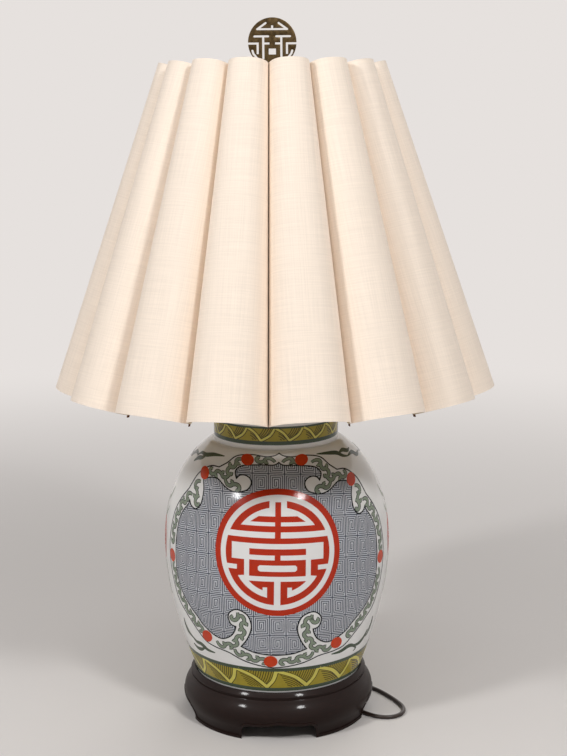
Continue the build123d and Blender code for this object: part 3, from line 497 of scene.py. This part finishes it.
# Right halves of the panel's border, from the top to the bottom, as points of smooth lines.
INNER_BORDER = [
    [(0, 118), (5, 114.5), (20, 114), (39, 111), (46.5, 104), (45, 95.5)],
    [(45, 95.5), (41.5, 99.5), (36, 100.5), (30.5, 98), (28, 93), (30, 87), (35, 83), (47, 80.8),
     (56, 83.5), (62.5, 88), (68, 91.5), (77, 91.5), (89, 87)],
    [(89, 87), (86.5, 76), (87.5, 65), (91, 57.5), (97.5, 54), (104.5, 56), (107.5, 60)],
    [(107.5, 60), (111, 55), (120, 45.5), (126.5, 33), (130, 13), (130.6, -2), (129.6, -17),
     (125, -32), (117, -44.6), (105, -55.6), (91.5, -66), (83, -74), (68.5, -82), (57.5, -84),
     (47.5, -78.5), (43, -71.5), (41.5, -65.5)],
    [(41.5, -65.5), (47.5, -63), (50.5, -54), (47, -47.5), (39.5, -44.5), (29, -49.5), (24.5, -60),
     (25, -69), (29, -80), (35, -89.6)],
    [(35, -89.6), (21, -95), (5, -97), (0, -97)],
]
OUTER_BORDER = [
    [(0, 130), (5, 126.5), (14, 125), (29, 126.3), (46, 122.5), (57.5, 112), (68, 104.7)],
    [(68, 104.7), (79, 104), (90, 98.4), (101, 89), (112.5, 72)],
    [(112.5, 72), (126.5, 58), (138.4, 42), (146, 20), (148.4, 0), (145.5, -20), (139, -37),
     (129, -55), (113, -68), (97, -81), (81.5, -93.5), (68.5, -97.5), (54.5, -99.5), (48, -101)],
    [(48, -101), (32.5, -107.6), (15, -112), (0, -114)],
]
# Centre lines of the vine's right half, each run ending where it curls up or meets a dot.
VINES = [
    [(4, 120.5), (21, 120)],
    [(37, 118.5), (46, 114.5), (52.5, 107), (55.5, 98.5), (64, 97), (80, 98)],
    [(59, 92), (51, 88.5), (43, 86), (38, 89)],
    [(95, 84), (99.5, 77), (98.5, 69), (95.5, 63), (99, 59.5)],
    [(106, 69), (114, 61.5), (124, 51.5), (132, 38.5), (137.5, 23), (139.5, 6)],
    [(137.5, -13), (133.5, -29), (126, -44.5), (113, -58.5), (101, -69), (86, -81.5)],
    [(65, -91), (55, -92.5), (44.5, -89), (37.5, -79), (33.5, -68), (33.5, -58), (39, -52), (44, -56)],
    [(43, -96.5), (29, -101.5), (11, -105.5)],
]
DOTS = [
    (-8, -108.5), (-83, -87), (66, -93), (-142, -5), (138, -8), (-87, 94), (90, 85), (-31, 117.5),
    (27, 117),
]
# Sprays in the white corners outside the panel: each leaf from tip to tip.
LEAVES = [
    [(-73, -107), (-84, -106), (-94, -101.5), (-103, -101), (-112, -96)],
    [(-88, -104.5), (-95, -109), (-103, -109.5), (-110, -106)],
    [(-108, -98), (-117, -94), (-124, -86), (-126, -77)],
    [(60, -107), (72, -106.5), (84, -103), (92, -105), (97, -110), (93, -113)],
    [(90, -104), (101, -106), (111, -102), (120, -93)],
    [(112, -101), (121, -99), (128, -89), (131, -79)],
    [(-60, 118), (-76, 117), (-92, 113.5), (-104, 113.5), (-114, 108)],
    [(-90, 114), (-98, 109), (-108, 106.5), (-117, 101)],
    [(-110, 109), (-124, 110.5), (-138, 104), (-150, 107)],
    [(45, 122), (60, 120.5), (74, 118), (84, 112.5), (94, 110)],
    [(76, 116.5), (86, 119), (97, 116), (105, 117.5)],
    [(92, 110), (106, 112), (118, 106.5), (132, 108)],
]


def border_line(parts):
    """The whole closed border, in its place, from the parts of its right half."""
    right = []
    for part in parts:
        right += curve_through(part)[:-1]
    right.append(parts[-1][-1])
    return moved([right + [(-u, v) for u, v in right[-2:0:-1]]], *PANEL_PLACE)[0]


def vine_shapes(rim):
    """A chain of fat hooked leaves that curl to each side in turn, each widened by a rim."""
    hook = [(-6.2, -2.4), (-4.0, 0.4), (-0.6, 2.5), (2.8, 2.2), (4.6, -0.4), (3.4, -3.2), (0.8, -3.0)]
    spacing = 8.8
    shapes = []
    for run in VINES:
        line = curve_through(run, 1.0)
        travelled, side, last = spacing * 0.4, 1, line[0]
        for i in range(1, len(line) - 1):
            travelled += hypot(line[i][0] - last[0], line[i][1] - last[1])
            last = line[i]
            if travelled < spacing:
                continue
            travelled -= spacing
            heading = atan2(line[i + 1][1] - line[i - 1][1], line[i + 1][0] - line[i - 1][0])
            curl = curve_through([(x, y * side) for x, y in hook], 1.4)
            quads = stroke(curl, lambda share: rim + 0.8 + 2.6 * sin(pi * min(1, 0.12 + 0.72 * share)))
            shapes += moved(quads, *line[i], 1.0, heading)
            side = -side
    return moved(shapes + mirrored(shapes), *PANEL_PLACE)


def leaf_shapes():
    """The corner leaves, as strokes that swell in the middle."""
    shapes = []
    for points in LEAVES:
        line = curve_through(points)
        shapes += stroke(line, lambda share: 0.6 + 4.4 * sin(pi * min(1, 0.05 + 0.9 * share)) ** 1.2)
    return shapes


def square_spiral(left, low, right, high, pitch):
    """Corners of a rectangular spiral that winds in from a cell's lower left corner."""
    corners = [(left, low)]
    while right - left > pitch and high - low > pitch:
        corners += [(right, low), (right, high), (left, high), (left, low + pitch)]
        left, low, right, high = left + pitch, low + pitch, right - pitch, high - pitch
        corners.append((left, low))
    return corners + [(left, high)]


def divided(corners, step):
    """The same line with points no further apart than a step."""
    line = [corners[0]]
    for (x0, y0), (x1, y1) in zip(corners, corners[1:]):
        steps = max(1, ceil(hypot(x1 - x0, y1 - y0) / step))
        line += [(x0 + (x1 - x0) * i / steps, y0 + (y1 - y0) * i / steps) for i in range(1, steps + 1)]
    return line


def fret_shapes(settings, panel):
    """Framed rows of square spirals that droop to the sides, kept where the panel's ground shows."""
    width, height, pitch = (s / MM for s in (settings.fret_width, settings.fret_height, settings.fret_pitch))
    belly, row_start, droop, step = 124.7, -9.0, 0.185, 1.6
    side, end = 145, 130  # how far the fret reaches to each side, and up and down
    frame_line, spiral_line = pitch * 0.5, pitch * 0.42
    hidden = settings.roundel_radius / MM - 1.5
    columns, rows = ceil(side / width), ceil(end / height)
    quads = []
    for row in range(-rows, rows + 1):
        low = row_start + row * height
        quads += stroke(divided([(-side, low), (side, low)], step), frame_line)
        for column in range(-columns, columns + 1):
            left = (column - 0.5) * width
            right, high = left + width, low + height
            quads += stroke(divided([(left, low), (left, high)], step), frame_line)
            corners = square_spiral(left + pitch, low + pitch, right - pitch, high - pitch, pitch)
            if (row + column) % 2:
                corners = [(left + right - x, y) for x, y in corners]
            quads += stroke(divided(corners, step), spiral_line)
    kept = []
    for quad in quads:
        drooped = [
            (u, v - droop * belly * (1 - cos(u / belly)) + u * tan(PANEL_PLACE[3])) for u, v in quad
        ]
        middle = (sum(p[0] for p in drooped) / 4, sum(p[1] for p in drooped) / 4)
        away = hypot(middle[0] - ROUNDEL_PLACE[0], middle[1] - ROUNDEL_PLACE[1])
        if away > hidden and inside(middle, panel):
            kept.append(drooped)
    return kept


def strip(around, bottom, top):
    """A plain strip that goes all the way round."""
    return [(0, bottom), (around, bottom), (around, top), (0, top)]


def wave_band(period, low, high, repeats, lean, broad):
    """Waves of a band: pale strokes that fall and rise, and dark lines beside and between them."""
    rise, run, gap, fine = high - low, period * lean, 2.6, 0.95
    pale, dark = [], []
    for i in range(repeats):
        start, foot, end = i * period, (i + lean - 0.05) * period, (i + 0.95) * period
        first_bend = (start + run * 0.52, high - rise * 0.34)
        second_bend = (foot + (end - foot) * 0.68, low + rise * 0.45)
        falling = curve_through([(start, high), first_bend, (start + run, low)])
        rising = curve_through([(foot, low), second_bend, (end, high)])
        pale += stroke(falling, broad) + stroke(rising, broad)
        dark += stroke(falling, broad + fine * 2) + stroke(rising, broad + fine * 2)
        us, vs = [p[0] for p in falling], [p[1] for p in falling]
        for k in range(1, int(run / gap)):
            beside = [(u - k * gap - broad / 2, v) for u, v in rising]
            beside = [p for p in beside if p[1] > between(us, vs, p[0]) + broad / 2]
            under = [(u, v - k * gap - broad / 2) for u, v in falling]
            under = [p for p in under if p[1] > low + 0.5 and p[0] > start + period * 0.04 * k]
            for line in (beside, under):
                if len(line) > 1:
                    dark += stroke(line, fine)
    return pale, dark


# ---- operators
class LampOperator:
    """What every piece of the lamp shares."""

    bl_options = {"REGISTER", "UNDO"}


class LAMP_OT_stand(LampOperator, Operator):
    """Finish the carved stand in dark lacquered rosewood"""

    bl_idname = "ginger_lamp.stand"
    bl_label = "Stand"

    def execute(self, context):
        dress("stand", lacquered_rosewood(context.scene.ginger_lamp.finish), 0.5)
        return {"FINISHED"}


class LAMP_OT_porcelain(LampOperator, Operator):
    """Glaze the jar and its lid"""

    bl_idname = "ginger_lamp.porcelain"
    bl_label = "Porcelain"

    def execute(self, context):
        glaze = glazed_porcelain(context.scene.ginger_lamp.paint.glaze)
        dress("jar", glaze, 0.0, 40)
        dress("lid", glaze, 0.0, 40)
        return {"FINISHED"}


def jar_face():
    """The jar's wall from its foot to under the lid; v is 0 at the belly, 199 mm up."""
    return TurnedFace("jar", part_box("jar")[0][2] / MM + 3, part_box("lid")[0][2] / MM - 2, 199.0)


class LAMP_OT_panels(LampOperator, Operator):
    """Paint the two panels with their fret ground, border, vine and roundel"""

    bl_idname = "ginger_lamp.panels"
    bl_label = "Painted panels"

    def execute(self, context):
        settings = context.scene.ginger_lamp.paint
        wall = jar_face()
        red = overglaze_enamel("iron_red_enamel", settings.red)
        white = glazed_porcelain(settings.glaze)
        colours = {
            "green": overglaze_enamel("grey_green_enamel", settings.green),
            "line": overglaze_enamel("outline_enamel", settings.line),
            "ground": overglaze_enamel("ground_wash", settings.ground),
            "fret": overglaze_enamel("fret_enamel", settings.fret),
            "moss": overglaze_enamel("dark_green_enamel", settings.moss),
            "dot": overglaze_enamel("orange_red_enamel", settings.dot),
        }
        inner, outer = border_line(INNER_BORDER), border_line(OUTER_BORDER)
        radius, ring_width = settings.roundel_radius / MM, settings.ring_width / MM
        disc = arc((0, 0), radius - 2, 0, 360, 3)[:-1]
        circle = arc((0, 0), radius - ring_width / 2, 0, 360, 3)[:-1]
        figure = longevity_figure() + stroke(circle, ring_width, closed=True)
        layers = (
            ("ground", [inner], 0.10, colours["ground"], WIDE),
            ("fret", fret_shapes(settings, inner), 0.15, colours["fret"], SMALL),
            ("outlines", stroke(inner, 1.5, True) + stroke(outer, 1.3, True), 0.19, colours["line"], SMALL),
            ("vine_edges", vine_shapes(1.5), 0.15, colours["line"], SMALL),
            ("vine", vine_shapes(0.0), 0.20, colours["green"], SMALL),
            ("leaves", leaf_shapes(), 0.16, colours["moss"], SMALL),
            ("dots", [arc(place, settings.dot_radius / MM, 0, 360, 15)[:-1] for place in DOTS],
             0.24, colours["dot"], WIDE),
            ("disc", moved([disc], *ROUNDEL_PLACE), 0.18, white, WIDE),
            ("roundel", moved(figure, *ROUNDEL_PLACE, 1.0, ROUNDEL_TILT), 0.23, red, WIDE),
        )
        for side, turn in (("front", 0.0), ("back", pi)):
            for layer, shapes, lift, enamel, cell in layers:
                paint(f"{side}_{layer}", wall, shapes, lift, enamel, turn, cell=cell)
        return {"FINISHED"}


class LAMP_OT_sides(LampOperator, Operator):
    """Paint the small roundel and leaves between the panels"""

    bl_idname = "ginger_lamp.sides"
    bl_label = "Painted sides"

    def execute(self, context):
        settings = context.scene.ginger_lamp.paint
        wall = jar_face()
        red = overglaze_enamel("side_red_enamel", settings.red)
        green = overglaze_enamel("side_green_enamel", settings.green)
        ring = stroke(arc((0, 0), 64.6, 0, 360, 5)[:-1], 6.5, closed=True)
        small = moved(longevity_figure() + ring, 0, 4, 0.4)
        leaves = []
        for up in (1, -1):
            for side in (1, -1):
                for reach in (1.0, 0.62):
                    points = [(0, 34)]
                    points += [(u * side, v * reach) for u, v in ((9, 44), (20, 50), (24, 62))]
                    line = curve_through([(u, 4 + v * up) for u, v in points], 2.5)
                    leaves += stroke(line, lambda share: 0.6 + 4.0 * sin(pi * min(1, 0.1 + 0.9 * share)))
        for name, turn in (("right", pi / 2), ("left", -pi / 2)):
            paint(f"{name}_roundel", wall, small, 0.2, red, turn)
            paint(f"{name}_leaves", wall, leaves, 0.17, green, turn, cell=SMALL)
        return {"FINISHED"}


class LAMP_OT_bands(LampOperator, Operator):
    """Paint the wave bands and green lines round the jar's foot and the lid"""

    bl_idname = "ginger_lamp.bands"
    bl_label = "Painted bands"

    def execute(self, context):
        settings = context.scene.ginger_lamp.paint
        olive = overglaze_enamel("olive_enamel", settings.olive)
        pale = overglaze_enamel("pale_olive_enamel", settings.pale_olive)
        dark = overglaze_enamel("dark_olive_enamel", scaled(settings.olive, 0.16))
        moss = overglaze_enamel("moss_enamel", settings.moss)
        lid_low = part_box("lid")[0][2] / MM
        lid_wall = TurnedFace("lid", lid_low + 1, lid_low + 25, lid_low + 1)
        repeats = 14
        # Each with its girth, lean, stroke width, lower and upper edge, and the lines' outer edges.
        bands = (
            ("foot", jar_face(), 96.0, 0.74, 3.8, -144.5, -122.0, -149.0, -117.8),
            ("lid", lid_wall, 68.2, 0.48, 2.3, 8.4, 22.0, 4.2, 24.0),
        )
        for name, wall, girth, lean, broad, low, high, lowest, highest in bands:
            around = 2 * pi * girth
            waves, edges = wave_band(around / repeats, low, high, repeats, lean, broad)
            lines = [strip(around, lowest, low), strip(around, high, highest)]
            paint(f"{name}_band", wall, [strip(around, low, high)], 0.11, olive, girth=girth)
            paint(f"{name}_hatching", wall, edges, 0.15, dark, girth=girth, cell=SMALL)
            paint(f"{name}_waves", wall, waves, 0.19, pale, girth=girth, cell=SMALL)
            paint(f"{name}_lines", wall, lines, 0.21, moss, girth=girth)
        return {"FINISHED"}


SEAM_GAP = 0.0003  # between a flute's edge and the middle of its seam


def add_cloth_face(bm, cloth, corners):
    """A face whose corners are pairs of a vertex and its place on the flat cloth."""
    face = bm.faces.new([vert for vert, uv in corners])
    for loop, (vert, uv) in zip(face.loops, corners):
        loop[cloth].uv = uv
    return face


def add_cover(settings, half, crown, crease, bottom, top, apex):
    """The flutes: each is part of a leaning cone, with its two edges tucked in at the seams."""
    tilt = atan2(cos(crease) - cos(crown), sin(crown) - sin(crease) * cos(half))
    spread = crown - tilt
    seam = atan2(sin(crease) * sin(half), sin(crease) * cos(half) * cos(tilt) - cos(crease) * sin(tilt))
    axis = Vector((0, sin(tilt), -cos(tilt)))
    outward = Vector((0, cos(tilt), sin(tilt)))
    sideways = Vector((1, 0, 0))
    across, rows = 30, 26
    cut_apart = 0.31  # how far the weave is shifted from one flute to the next
    rng = random.Random(11)
    bm = bmesh.new()
    cloth = bm.loops.layers.uv.new("cloth")
    for flute in range(settings.flutes):
        # Stretched by hand: each flute is up to 1.2 % fuller or flatter, and 3 to 5 % squarer.
        fullness = rng.uniform(-0.012, 0.012)
        squareness = rng.uniform(0.030, 0.05)
        turn = Matrix.Rotation(settings.seam_turn + (2 * flute + 1) * half, 3, "Z")
        grid = []
        for row in range(rows + 1):
            away = bottom + (top - bottom) * row / rows
            ring = []
            for skin in (0, 1):
                line = []
                for i in range(-1, across + 2):
                    share = min(max(i, 0), across) / across * 2 - 1
                    psi = seam * share
                    ease = 1 - abs(share) ** 6
                    bulge = 1 + (squareness * sin(2 * psi) ** 2 + fullness) * ease
                    edge = sideways * sin(psi) + outward * cos(psi)
                    ray = (axis * cos(spread) + edge * sin(spread) * bulge).normalized()
                    point = ray * away - edge * settings.board * skin
                    # Both edges stop short of the seam, and are then tucked in along it.
                    limit = (settings.board * skin + SEAM_GAP) / cos(half)
                    lateral = abs(point.x) - tan(half) * point.y
                    side = 1 if share > 0 else -1
                    if lateral > -limit:
                        point.x -= side * (lateral + limit)
                    if i in (-1, across + 1):
                        point.x -= side * settings.tuck * sin(half)
                        point.y -= settings.tuck * cos(half)
                    arc_at = psi * spread * away + (i if i < 0 else max(0, i - across)) * settings.tuck
                    vert = bm.verts.new(turn @ Vector((point.x, -point.y, point.z)) + Vector((0, 0, apex)))
                    line.append((vert, (arc_at + flute * cut_apart, away)))
                ring += line if skin == 0 else line[::-1]
            grid.append(ring)
        count = len(grid[0])
        for lower, upper in zip(grid, grid[1:]):
            for i in range(count):
                j = (i + 1) % count
                face = add_cloth_face(bm, cloth, (lower[i], lower[j], upper[j], upper[i]))
                face.material_index = 1 if count // 2 <= i < count - 1 else 0
        for edge_row in (grid[0][::-1], grid[-1]):
            for i in range(count // 2 - 1):
                k = count - 1 - i
                add_cloth_face(bm, cloth, (edge_row[i], edge_row[i + 1], edge_row[k - 1], edge_row[k]))
    bmesh.ops.recalc_face_normals(bm, faces=bm.faces[:])
    for edge in bm.edges:
        if len(edge.link_faces) == 2 and edge.calc_face_angle(0) > radians(50):
            edge.smooth = False
    linen = laminated_linen(settings.linen)
    lining = plain_finish("styrene_lining", settings.lining, 0.6, 2.0, 0.05)
    cover = add_mesh("shade_cover", bm, [linen, lining])
    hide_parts("shade_fabric")
    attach(cover, "shade")


def add_seam_shade(settings, half, crease, bottom, top, apex):
    """Dark brown strips behind each tuck, painted shade of the creases: a dark line between the flutes and a
    short end below them.
    """
    bm = bmesh.new()
    thick, end, recess = 0.0008, 0.0028, 0.0012
    for seam in range(settings.flutes):
        azimuth = settings.seam_turn + 2 * half * seam
        out = Vector((sin(azimuth), -cos(azimuth), 0))
        side = Vector((cos(azimuth), sin(azimuth), 0)) * thick / 2
        rings = []
        for away in (bottom + end, bottom - 0.01, top + 0.01, top - SEAM_GAP):
            middle = out * sin(crease) * away + Vector((0, 0, apex - cos(crease) * away))
            inner, outer = middle - out * settings.tuck, middle - out * recess
            corners = (inner - side, outer - side, outer + side, inner + side)
            rings.append([bm.verts.new(corner) for corner in corners])
        for lower, upper in zip(rings, rings[1:]):
            for i in range(4):
                bm.faces.new((lower[i], lower[(i + 1) % 4], upper[(i + 1) % 4], upper[i]))
        bm.faces.new(rings[0][::-1])
        bm.faces.new(rings[-1])
    bmesh.ops.recalc_face_normals(bm, faces=bm.faces[:])
    # Dark brown dull cloth: painted shade in the creases between the flutes and under the tuck ends.
    seam_shade = plain_finish("painted_seam_shade", settings.seam_shade, 0.9, 1.0, 0.1)
    seam_strips = add_mesh("painted_seam_strips", bm, [seam_shade], smooth=False)
    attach(seam_strips, "shade")


class LAMP_OT_shade(LampOperator, Operator):
    """Build the fluted linen cover and the dark strips of painted shade behind its seams"""

    bl_idname = "ginger_lamp.shade"
    bl_label = "Linen shade"

    def execute(self, context):
        settings = context.scene.ginger_lamp.shade
        half = pi / settings.flutes
        crown = asin((settings.crown_bottom - settings.crown_top) / settings.slant)
        crease = asin(sin(crown) * settings.crease_bottom / settings.crown_bottom)
        bottom = settings.crown_bottom / sin(crown)
        top = bottom - settings.slant
        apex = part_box("shade_fabric")[0][2] + bottom * cos(crease)
        add_cover(settings, half, crown, crease, bottom, top, apex)
        add_seam_shade(settings, half, crease, bottom, top, apex)
        return {"FINISHED"}


class LAMP_OT_fittings(LampOperator, Operator):
    """Finish the pipe, harp, rings, socket, switch, bulb and finial"""

    bl_idname = "ginger_lamp.fittings"
    bl_label = "Fittings"

    def execute(self, context):
        finish = context.scene.ginger_lamp.finish
        metal = {"Metallic": 1.0}
        # Each with its roughness, then in millimetres the grit and depth of its texture and the
        # width of its broken edges.
        finishes = (
            # Spun and turned brass, machine polished: small even scratches only.
            ("polished_brass", finish.brass, 0.22, 0.8, 0.02, 0.15, metal,
             "check_ring brass_neck harp_stud harp_sleeve_left harp_sleeve_right socket_cap socket_shell "
             "screw_shell centre_contact terminal_screws switch_shaft bulb_contact"),
            # Cast brass left to darken, brown and dull in its hollows: drawn as lighter and darker patches.
            ("antique_brass", finish.patina, 0.36, 3.5, 0.3, 0.25, {"spread": 0.9, **metal},
             "finial_base finial_medallion"),
            # Rolled steel with a thin zinc plate: greyish, softly shining.
            ("zinc_plated_steel", finish.steel, 0.35, 1.5, 0.02, 0.2, metal,
             "threaded_pipe stand_washer stand_nut harp_saddle harp"),
            # Wire dipped in ivory paint: smooth and slightly glossy.
            ("ivory_painted_wire", finish.ivory, 0.45, 3.0, 0.05, 0.0, {},
             "shade_spider shade_top_ring shade_bottom_ring"),
            # Pressed phenolic: black, satin, with a faint moulded texture.
            ("moulded_phenolic", finish.phenolic, 0.4, 0.6, 0.03, 0.3, {},
             "pipe_bushing socket_body switch_knob"),
            # Uncoated pressed board: brown and dull.
            ("pressed_board", linear("#A98B62"), 0.9, 1.2, 0.1, 0.0, {}, "socket_liner"),
            # Black vitreous insulator of the bulb's foot: glassy.
            ("vitreous_insulator", linear("#121212"), 0.15, 4.0, 0.02, 0.0, {}, "bulb_insulator"),
            # Drawn aluminium cap: satin.
            ("drawn_aluminium", linear("#D4D4D2"), 0.35, 0.8, 0.02, 0.0, metal, "bulb_cap"),
            # Acid-frosted glass: white and softly translucent.
            ("frosted_glass", linear("#F3F2EC"), 0.35, 6.0, 0.02, 0.0, {"Transmission_Weight": 0.25},
             "bulb_glass"),
            # Fine copper wire, drawn and stripped: reddish and bright.
            ("bare_copper", linear("#C77A4A"), 0.3, 1.0, 0.02, 0.0, metal, "lead_conductors"),
        )
        round_wires = ("harp", "shade_spider", "shade_top_ring", "shade_bottom_ring")
        for name, colour, roughness, grit, depth, edge, sockets, nodes in finishes:
            material = plain_finish(name, colour, roughness, grit, depth, **sockets)
            for node in nodes.split():
                if node in round_wires:
                    dress(node, material, sharp_degrees=60)
                else:
                    dress(node, material, edge)
        return {"FINISHED"}


# The cord on the table, in millimetres from under the stand, round its right and to the coil.
LEAD_ROUTE = (
    (9, 0), (28, -3), (55, -10), (84, -22), (107, -44.5), (124, -48), (138.5, -38.5), (142, -21.5),
    (135, -3), (126.5, 13), (117, 28), (106, 40), (98, 61), (86, 84), (71, 109), (54, 131), (43, 154),
)


class LAMP_OT_cord(LampOperator, Operator):
    """Lay the cord from the stand to its coil and plug"""

    bl_idname = "ginger_lamp.cord"
    bl_label = "Cord"

    def execute(self, context):
        settings = context.scene.ginger_lamp.cord
        # Soft extruded vinyl: dark brown, with a low waxy shine.
        vinyl = plain_finish("extruded_vinyl", settings.colour, 0.38, 1.5, 0.03)
        # Stamped from pale brass sheet: bright and smooth.
        brass = plain_finish("nickel_brass_blades", linear("#CDB98A"), 0.25, 0.8, 0.02, Metallic=1.0)
        # The cord lies just clear of the table, and the coil on its tie.
        floor_gap, tie_height = 0.00005, 0.00115
        lay = settings.diameter / 2 + floor_gap
        low = lay + tie_height
        high = low + settings.coil_pitch
        radius, centre = settings.coil_radius, settings.coil_centre
        points = [(0, 0, 0.0214), (0, 0, 0.0115)]
        points += [(x * MM, y * MM, lay) for x, y in LEAD_ROUTE]
        points.append((radius, centre - 0.016, low))
        # Seven half turns in along the lower layer, one that climbs, and seven out along the upper.
        layer_turns, per_half = 7, 8
        half_turns = 2 * layer_turns + 1
        for i in range(half_turns * per_half + 1):
            share = i / per_half
            inset = min(share, layer_turns, half_turns - share)
            away = (radius - settings.coil_pitch / 2 * inset) / cos(pi / per_half / 2) ** 0.5
            climb = min(max(share - layer_turns, 0), 1)
            height = low + (high - low) * climb * climb * (3 - 2 * climb)
            points.append((away * cos(pi * share), centre + away * sin(pi * share), height))
        points.append((-radius, centre - 0.010, high))
        curve = bpy.data.curves.new("cord", "CURVE")
        curve.dimensions = "3D"
        curve.bevel_depth = settings.diameter / 2
        curve.bevel_resolution = 5
        curve.use_fill_caps = True
        spline = curve.splines.new("NURBS")
        spline.points.add(len(points) - 1)
        for point, place in zip(spline.points, points):
            point.co = (*place, 1)
        spline.order_u = 3
        spline.use_endpoint_u = True
        spline.resolution_u = 6
        curve.materials.append(vinyl)
        cord = bpy.data.objects.new("cord", curve)
        context.scene.collection.objects.link(cord)
        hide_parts("cord_lead", "cord_coil")
        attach(cord, "base")
        dress("inner_lead", vinyl)
        dress("coil_tie", vinyl, 0.2)
        dress("plug", vinyl, 0.4)
        dress("plug_blades", brass, 0.15)
        return {"FINISHED"}


class LAMP_OT_stage(LampOperator, Operator):
    """Set the camera, the floor, four soft lamps and the room's light"""

    bl_idname = "ginger_lamp.stage"
    bl_label = "Stage"

    def execute(self, context):
        settings = context.scene.ginger_lamp.stage
        scene = context.scene
        add_camera(scene, settings)
        add_floor(settings)
        # The jar's two highlights say where the front lamps stand.
        # Each lamp: azimuth and height in degrees, distance and size in metres, share of the power.
        lamps = (
            ("left_lamp", -50, 34, 2.3, 0.28, 1.0),
            ("right_lamp", 31, 37, 2.3, 0.28, 1.0),
            ("overhead_lamp", 0, 70, 2.4, 2.2, 0.8),
            ("back_lamp", 162, 36, 2.6, 1.4, 0.8),
        )
        for name, azimuth, elevation, distance, size, share in lamps:
            add_lamp(scene, name, azimuth, elevation, distance, size, settings.lamp_power * share)
        add_world(scene, settings)
        scene.view_settings.view_transform = "Standard"
        return {"FINISHED"}


def add_camera(scene, settings):
    """A camera where the photograph's stood."""
    camera = bpy.data.cameras.new("camera")
    camera.lens = settings.focal
    camera.sensor_width = 36.0
    obj = bpy.data.objects.new("camera", camera)
    scene.collection.objects.link(obj)
    scene.camera = obj
    yaw, pitch = settings.yaw, settings.pitch
    forward = Vector((sin(yaw) * cos(pitch), cos(yaw) * cos(pitch), -sin(pitch)))
    right = Vector((cos(yaw), -sin(yaw), 0))
    rolled = Matrix.Rotation(-settings.roll, 3, forward) @ right
    above = rolled.cross(forward)
    rotation = Matrix((rolled, above, -forward)).transposed().to_4x4()
    obj.matrix_world = Matrix.Translation((0, -settings.distance, settings.height)) @ rotation


def seen_directly(tree):
    """1 for rays from the camera, a reflection or a clear piece, and 0 for the light on the lamp."""
    path = add_node(tree, "ShaderNodeLightPath").outputs
    seen = path["Is Camera Ray"]
    for kind in ("Is Glossy Ray", "Is Transmission Ray"):
        seen = add_node(tree, "ShaderNodeMath", {0: seen, 1: path[kind]}, operation="MAXIMUM").outputs[0]
    return seen


def add_floor(settings):
    """A wide plain floor that keeps the shadow near the lamp and turns plain pale further off."""
    bm = bmesh.new()
    shadow_end, plain_start, floor_end = 0.5, 2.4, 30.0
    bmesh.ops.create_circle(bm, cap_ends=True, segments=64, radius=floor_end)
    # Matt paper: rolled and uncoated, so it has no shine at all.
    material, tree, shader = new_material("matt_paper", settings.floor, 0.95, Specular_IOR_Level=0.1)
    place = add_node(tree, "ShaderNodeTexCoord").outputs["Object"]
    away = add_node(tree, "ShaderNodeVectorMath", {0: place}, operation="LENGTH").outputs["Value"]
    reach = {"Value": away, "From Min": shadow_end, "From Max": plain_start}
    far = add_node(tree, "ShaderNodeMapRange", reach, interpolation_type="SMOOTHSTEP").outputs["Result"]
    plain = add_node(tree, "ShaderNodeMath", {0: far, 1: seen_directly(tree)}, operation="MULTIPLY")
    glow = add_node(tree, "ShaderNodeEmission", {"Color": settings.backdrop, "Strength": 1.0})
    tones = {0: plain.outputs[0], 1: shader.outputs["BSDF"], 2: glow.outputs["Emission"]}
    mixed = add_node(tree, "ShaderNodeMixShader", tones).outputs[0]
    # From below the paper is clear, so that the lamp's underside can be looked at.
    below = add_node(tree, "ShaderNodeNewGeometry").outputs["Backfacing"]
    clear = add_node(tree, "ShaderNodeBsdfTransparent").outputs[0]
    one_sided = add_node(tree, "ShaderNodeMixShader", {0: below, 1: mixed, 2: clear}).outputs[0]
    tree.links.new(one_sided, tree.nodes["Material Output"].inputs["Surface"])
    add_mesh("floor", bm, [material])


def add_world(scene, settings):
    """A pale room all round: it lights softly, and shows at its full tone behind the lamp."""
    world = bpy.data.worlds.new("studio")
    world.use_nodes = True
    tree = world.node_tree
    background = tree.nodes["Background"]
    background.inputs["Color"].default_value = settings.backdrop
    tones = {"Value": seen_directly(tree), "To Min": settings.fill, "To Max": 1.0}
    level = add_node(tree, "ShaderNodeMapRange", tones).outputs["Result"]
    tree.links.new(level, background.inputs["Strength"])
    scene.world = world


def add_lamp(scene, name, azimuth, elevation, distance, size, power):
    """A soft lamp at a distance and two angles, turned to the middle of the lamp's height."""
    light = bpy.data.lights.new(name, "AREA")
    light.energy = power
    light.size = size
    obj = bpy.data.objects.new(name, light)
    scene.collection.objects.link(obj)
    a, e = radians(azimuth), radians(elevation)
    aim = Vector((0, 0, 0.35))
    obj.location = aim + Vector((sin(a) * cos(e), -cos(a) * cos(e), sin(e))) * distance
    obj.rotation_euler = (aim - obj.location).to_track_quat("-Z", "Y").to_euler()


class LAMP_PT_panel(Panel):
    """One button for each of the lamp's pieces"""

    bl_idname = "LAMP_PT_panel"
    bl_label = "Ginger Jar Lamp"
    bl_space_type = "VIEW_3D"
    bl_region_type = "UI"
    bl_category = "Lamp"

    def draw(self, context):
        for operator in OPERATORS:
            self.layout.operator(operator.bl_idname)


OPERATORS = (
    LAMP_OT_stage,
    LAMP_OT_cord,
    LAMP_OT_stand,
    LAMP_OT_porcelain,
    LAMP_OT_panels,
    LAMP_OT_sides,
    LAMP_OT_bands,
    LAMP_OT_shade,
    LAMP_OT_fittings,
)
CLASSES = (
    PaintSettings, ShadeSettings, CordSettings, FinishSettings, StageSettings, LampSettings, *OPERATORS,
    LAMP_PT_panel,
)


def register():
    for cls in CLASSES:
        bpy.utils.register_class(cls)
    bpy.types.Scene.ginger_lamp = PointerProperty(type=LampSettings)


def unregister():
    del bpy.types.Scene.ginger_lamp
    for cls in reversed(CLASSES):
        bpy.utils.unregister_class(cls)


def main():
    register()
    for operator in OPERATORS:
        getattr(bpy.ops.ginger_lamp, operator.bl_idname.split(".")[1])()
    bpy.context.view_layer.update()


if __name__ == "__main__":
    main()
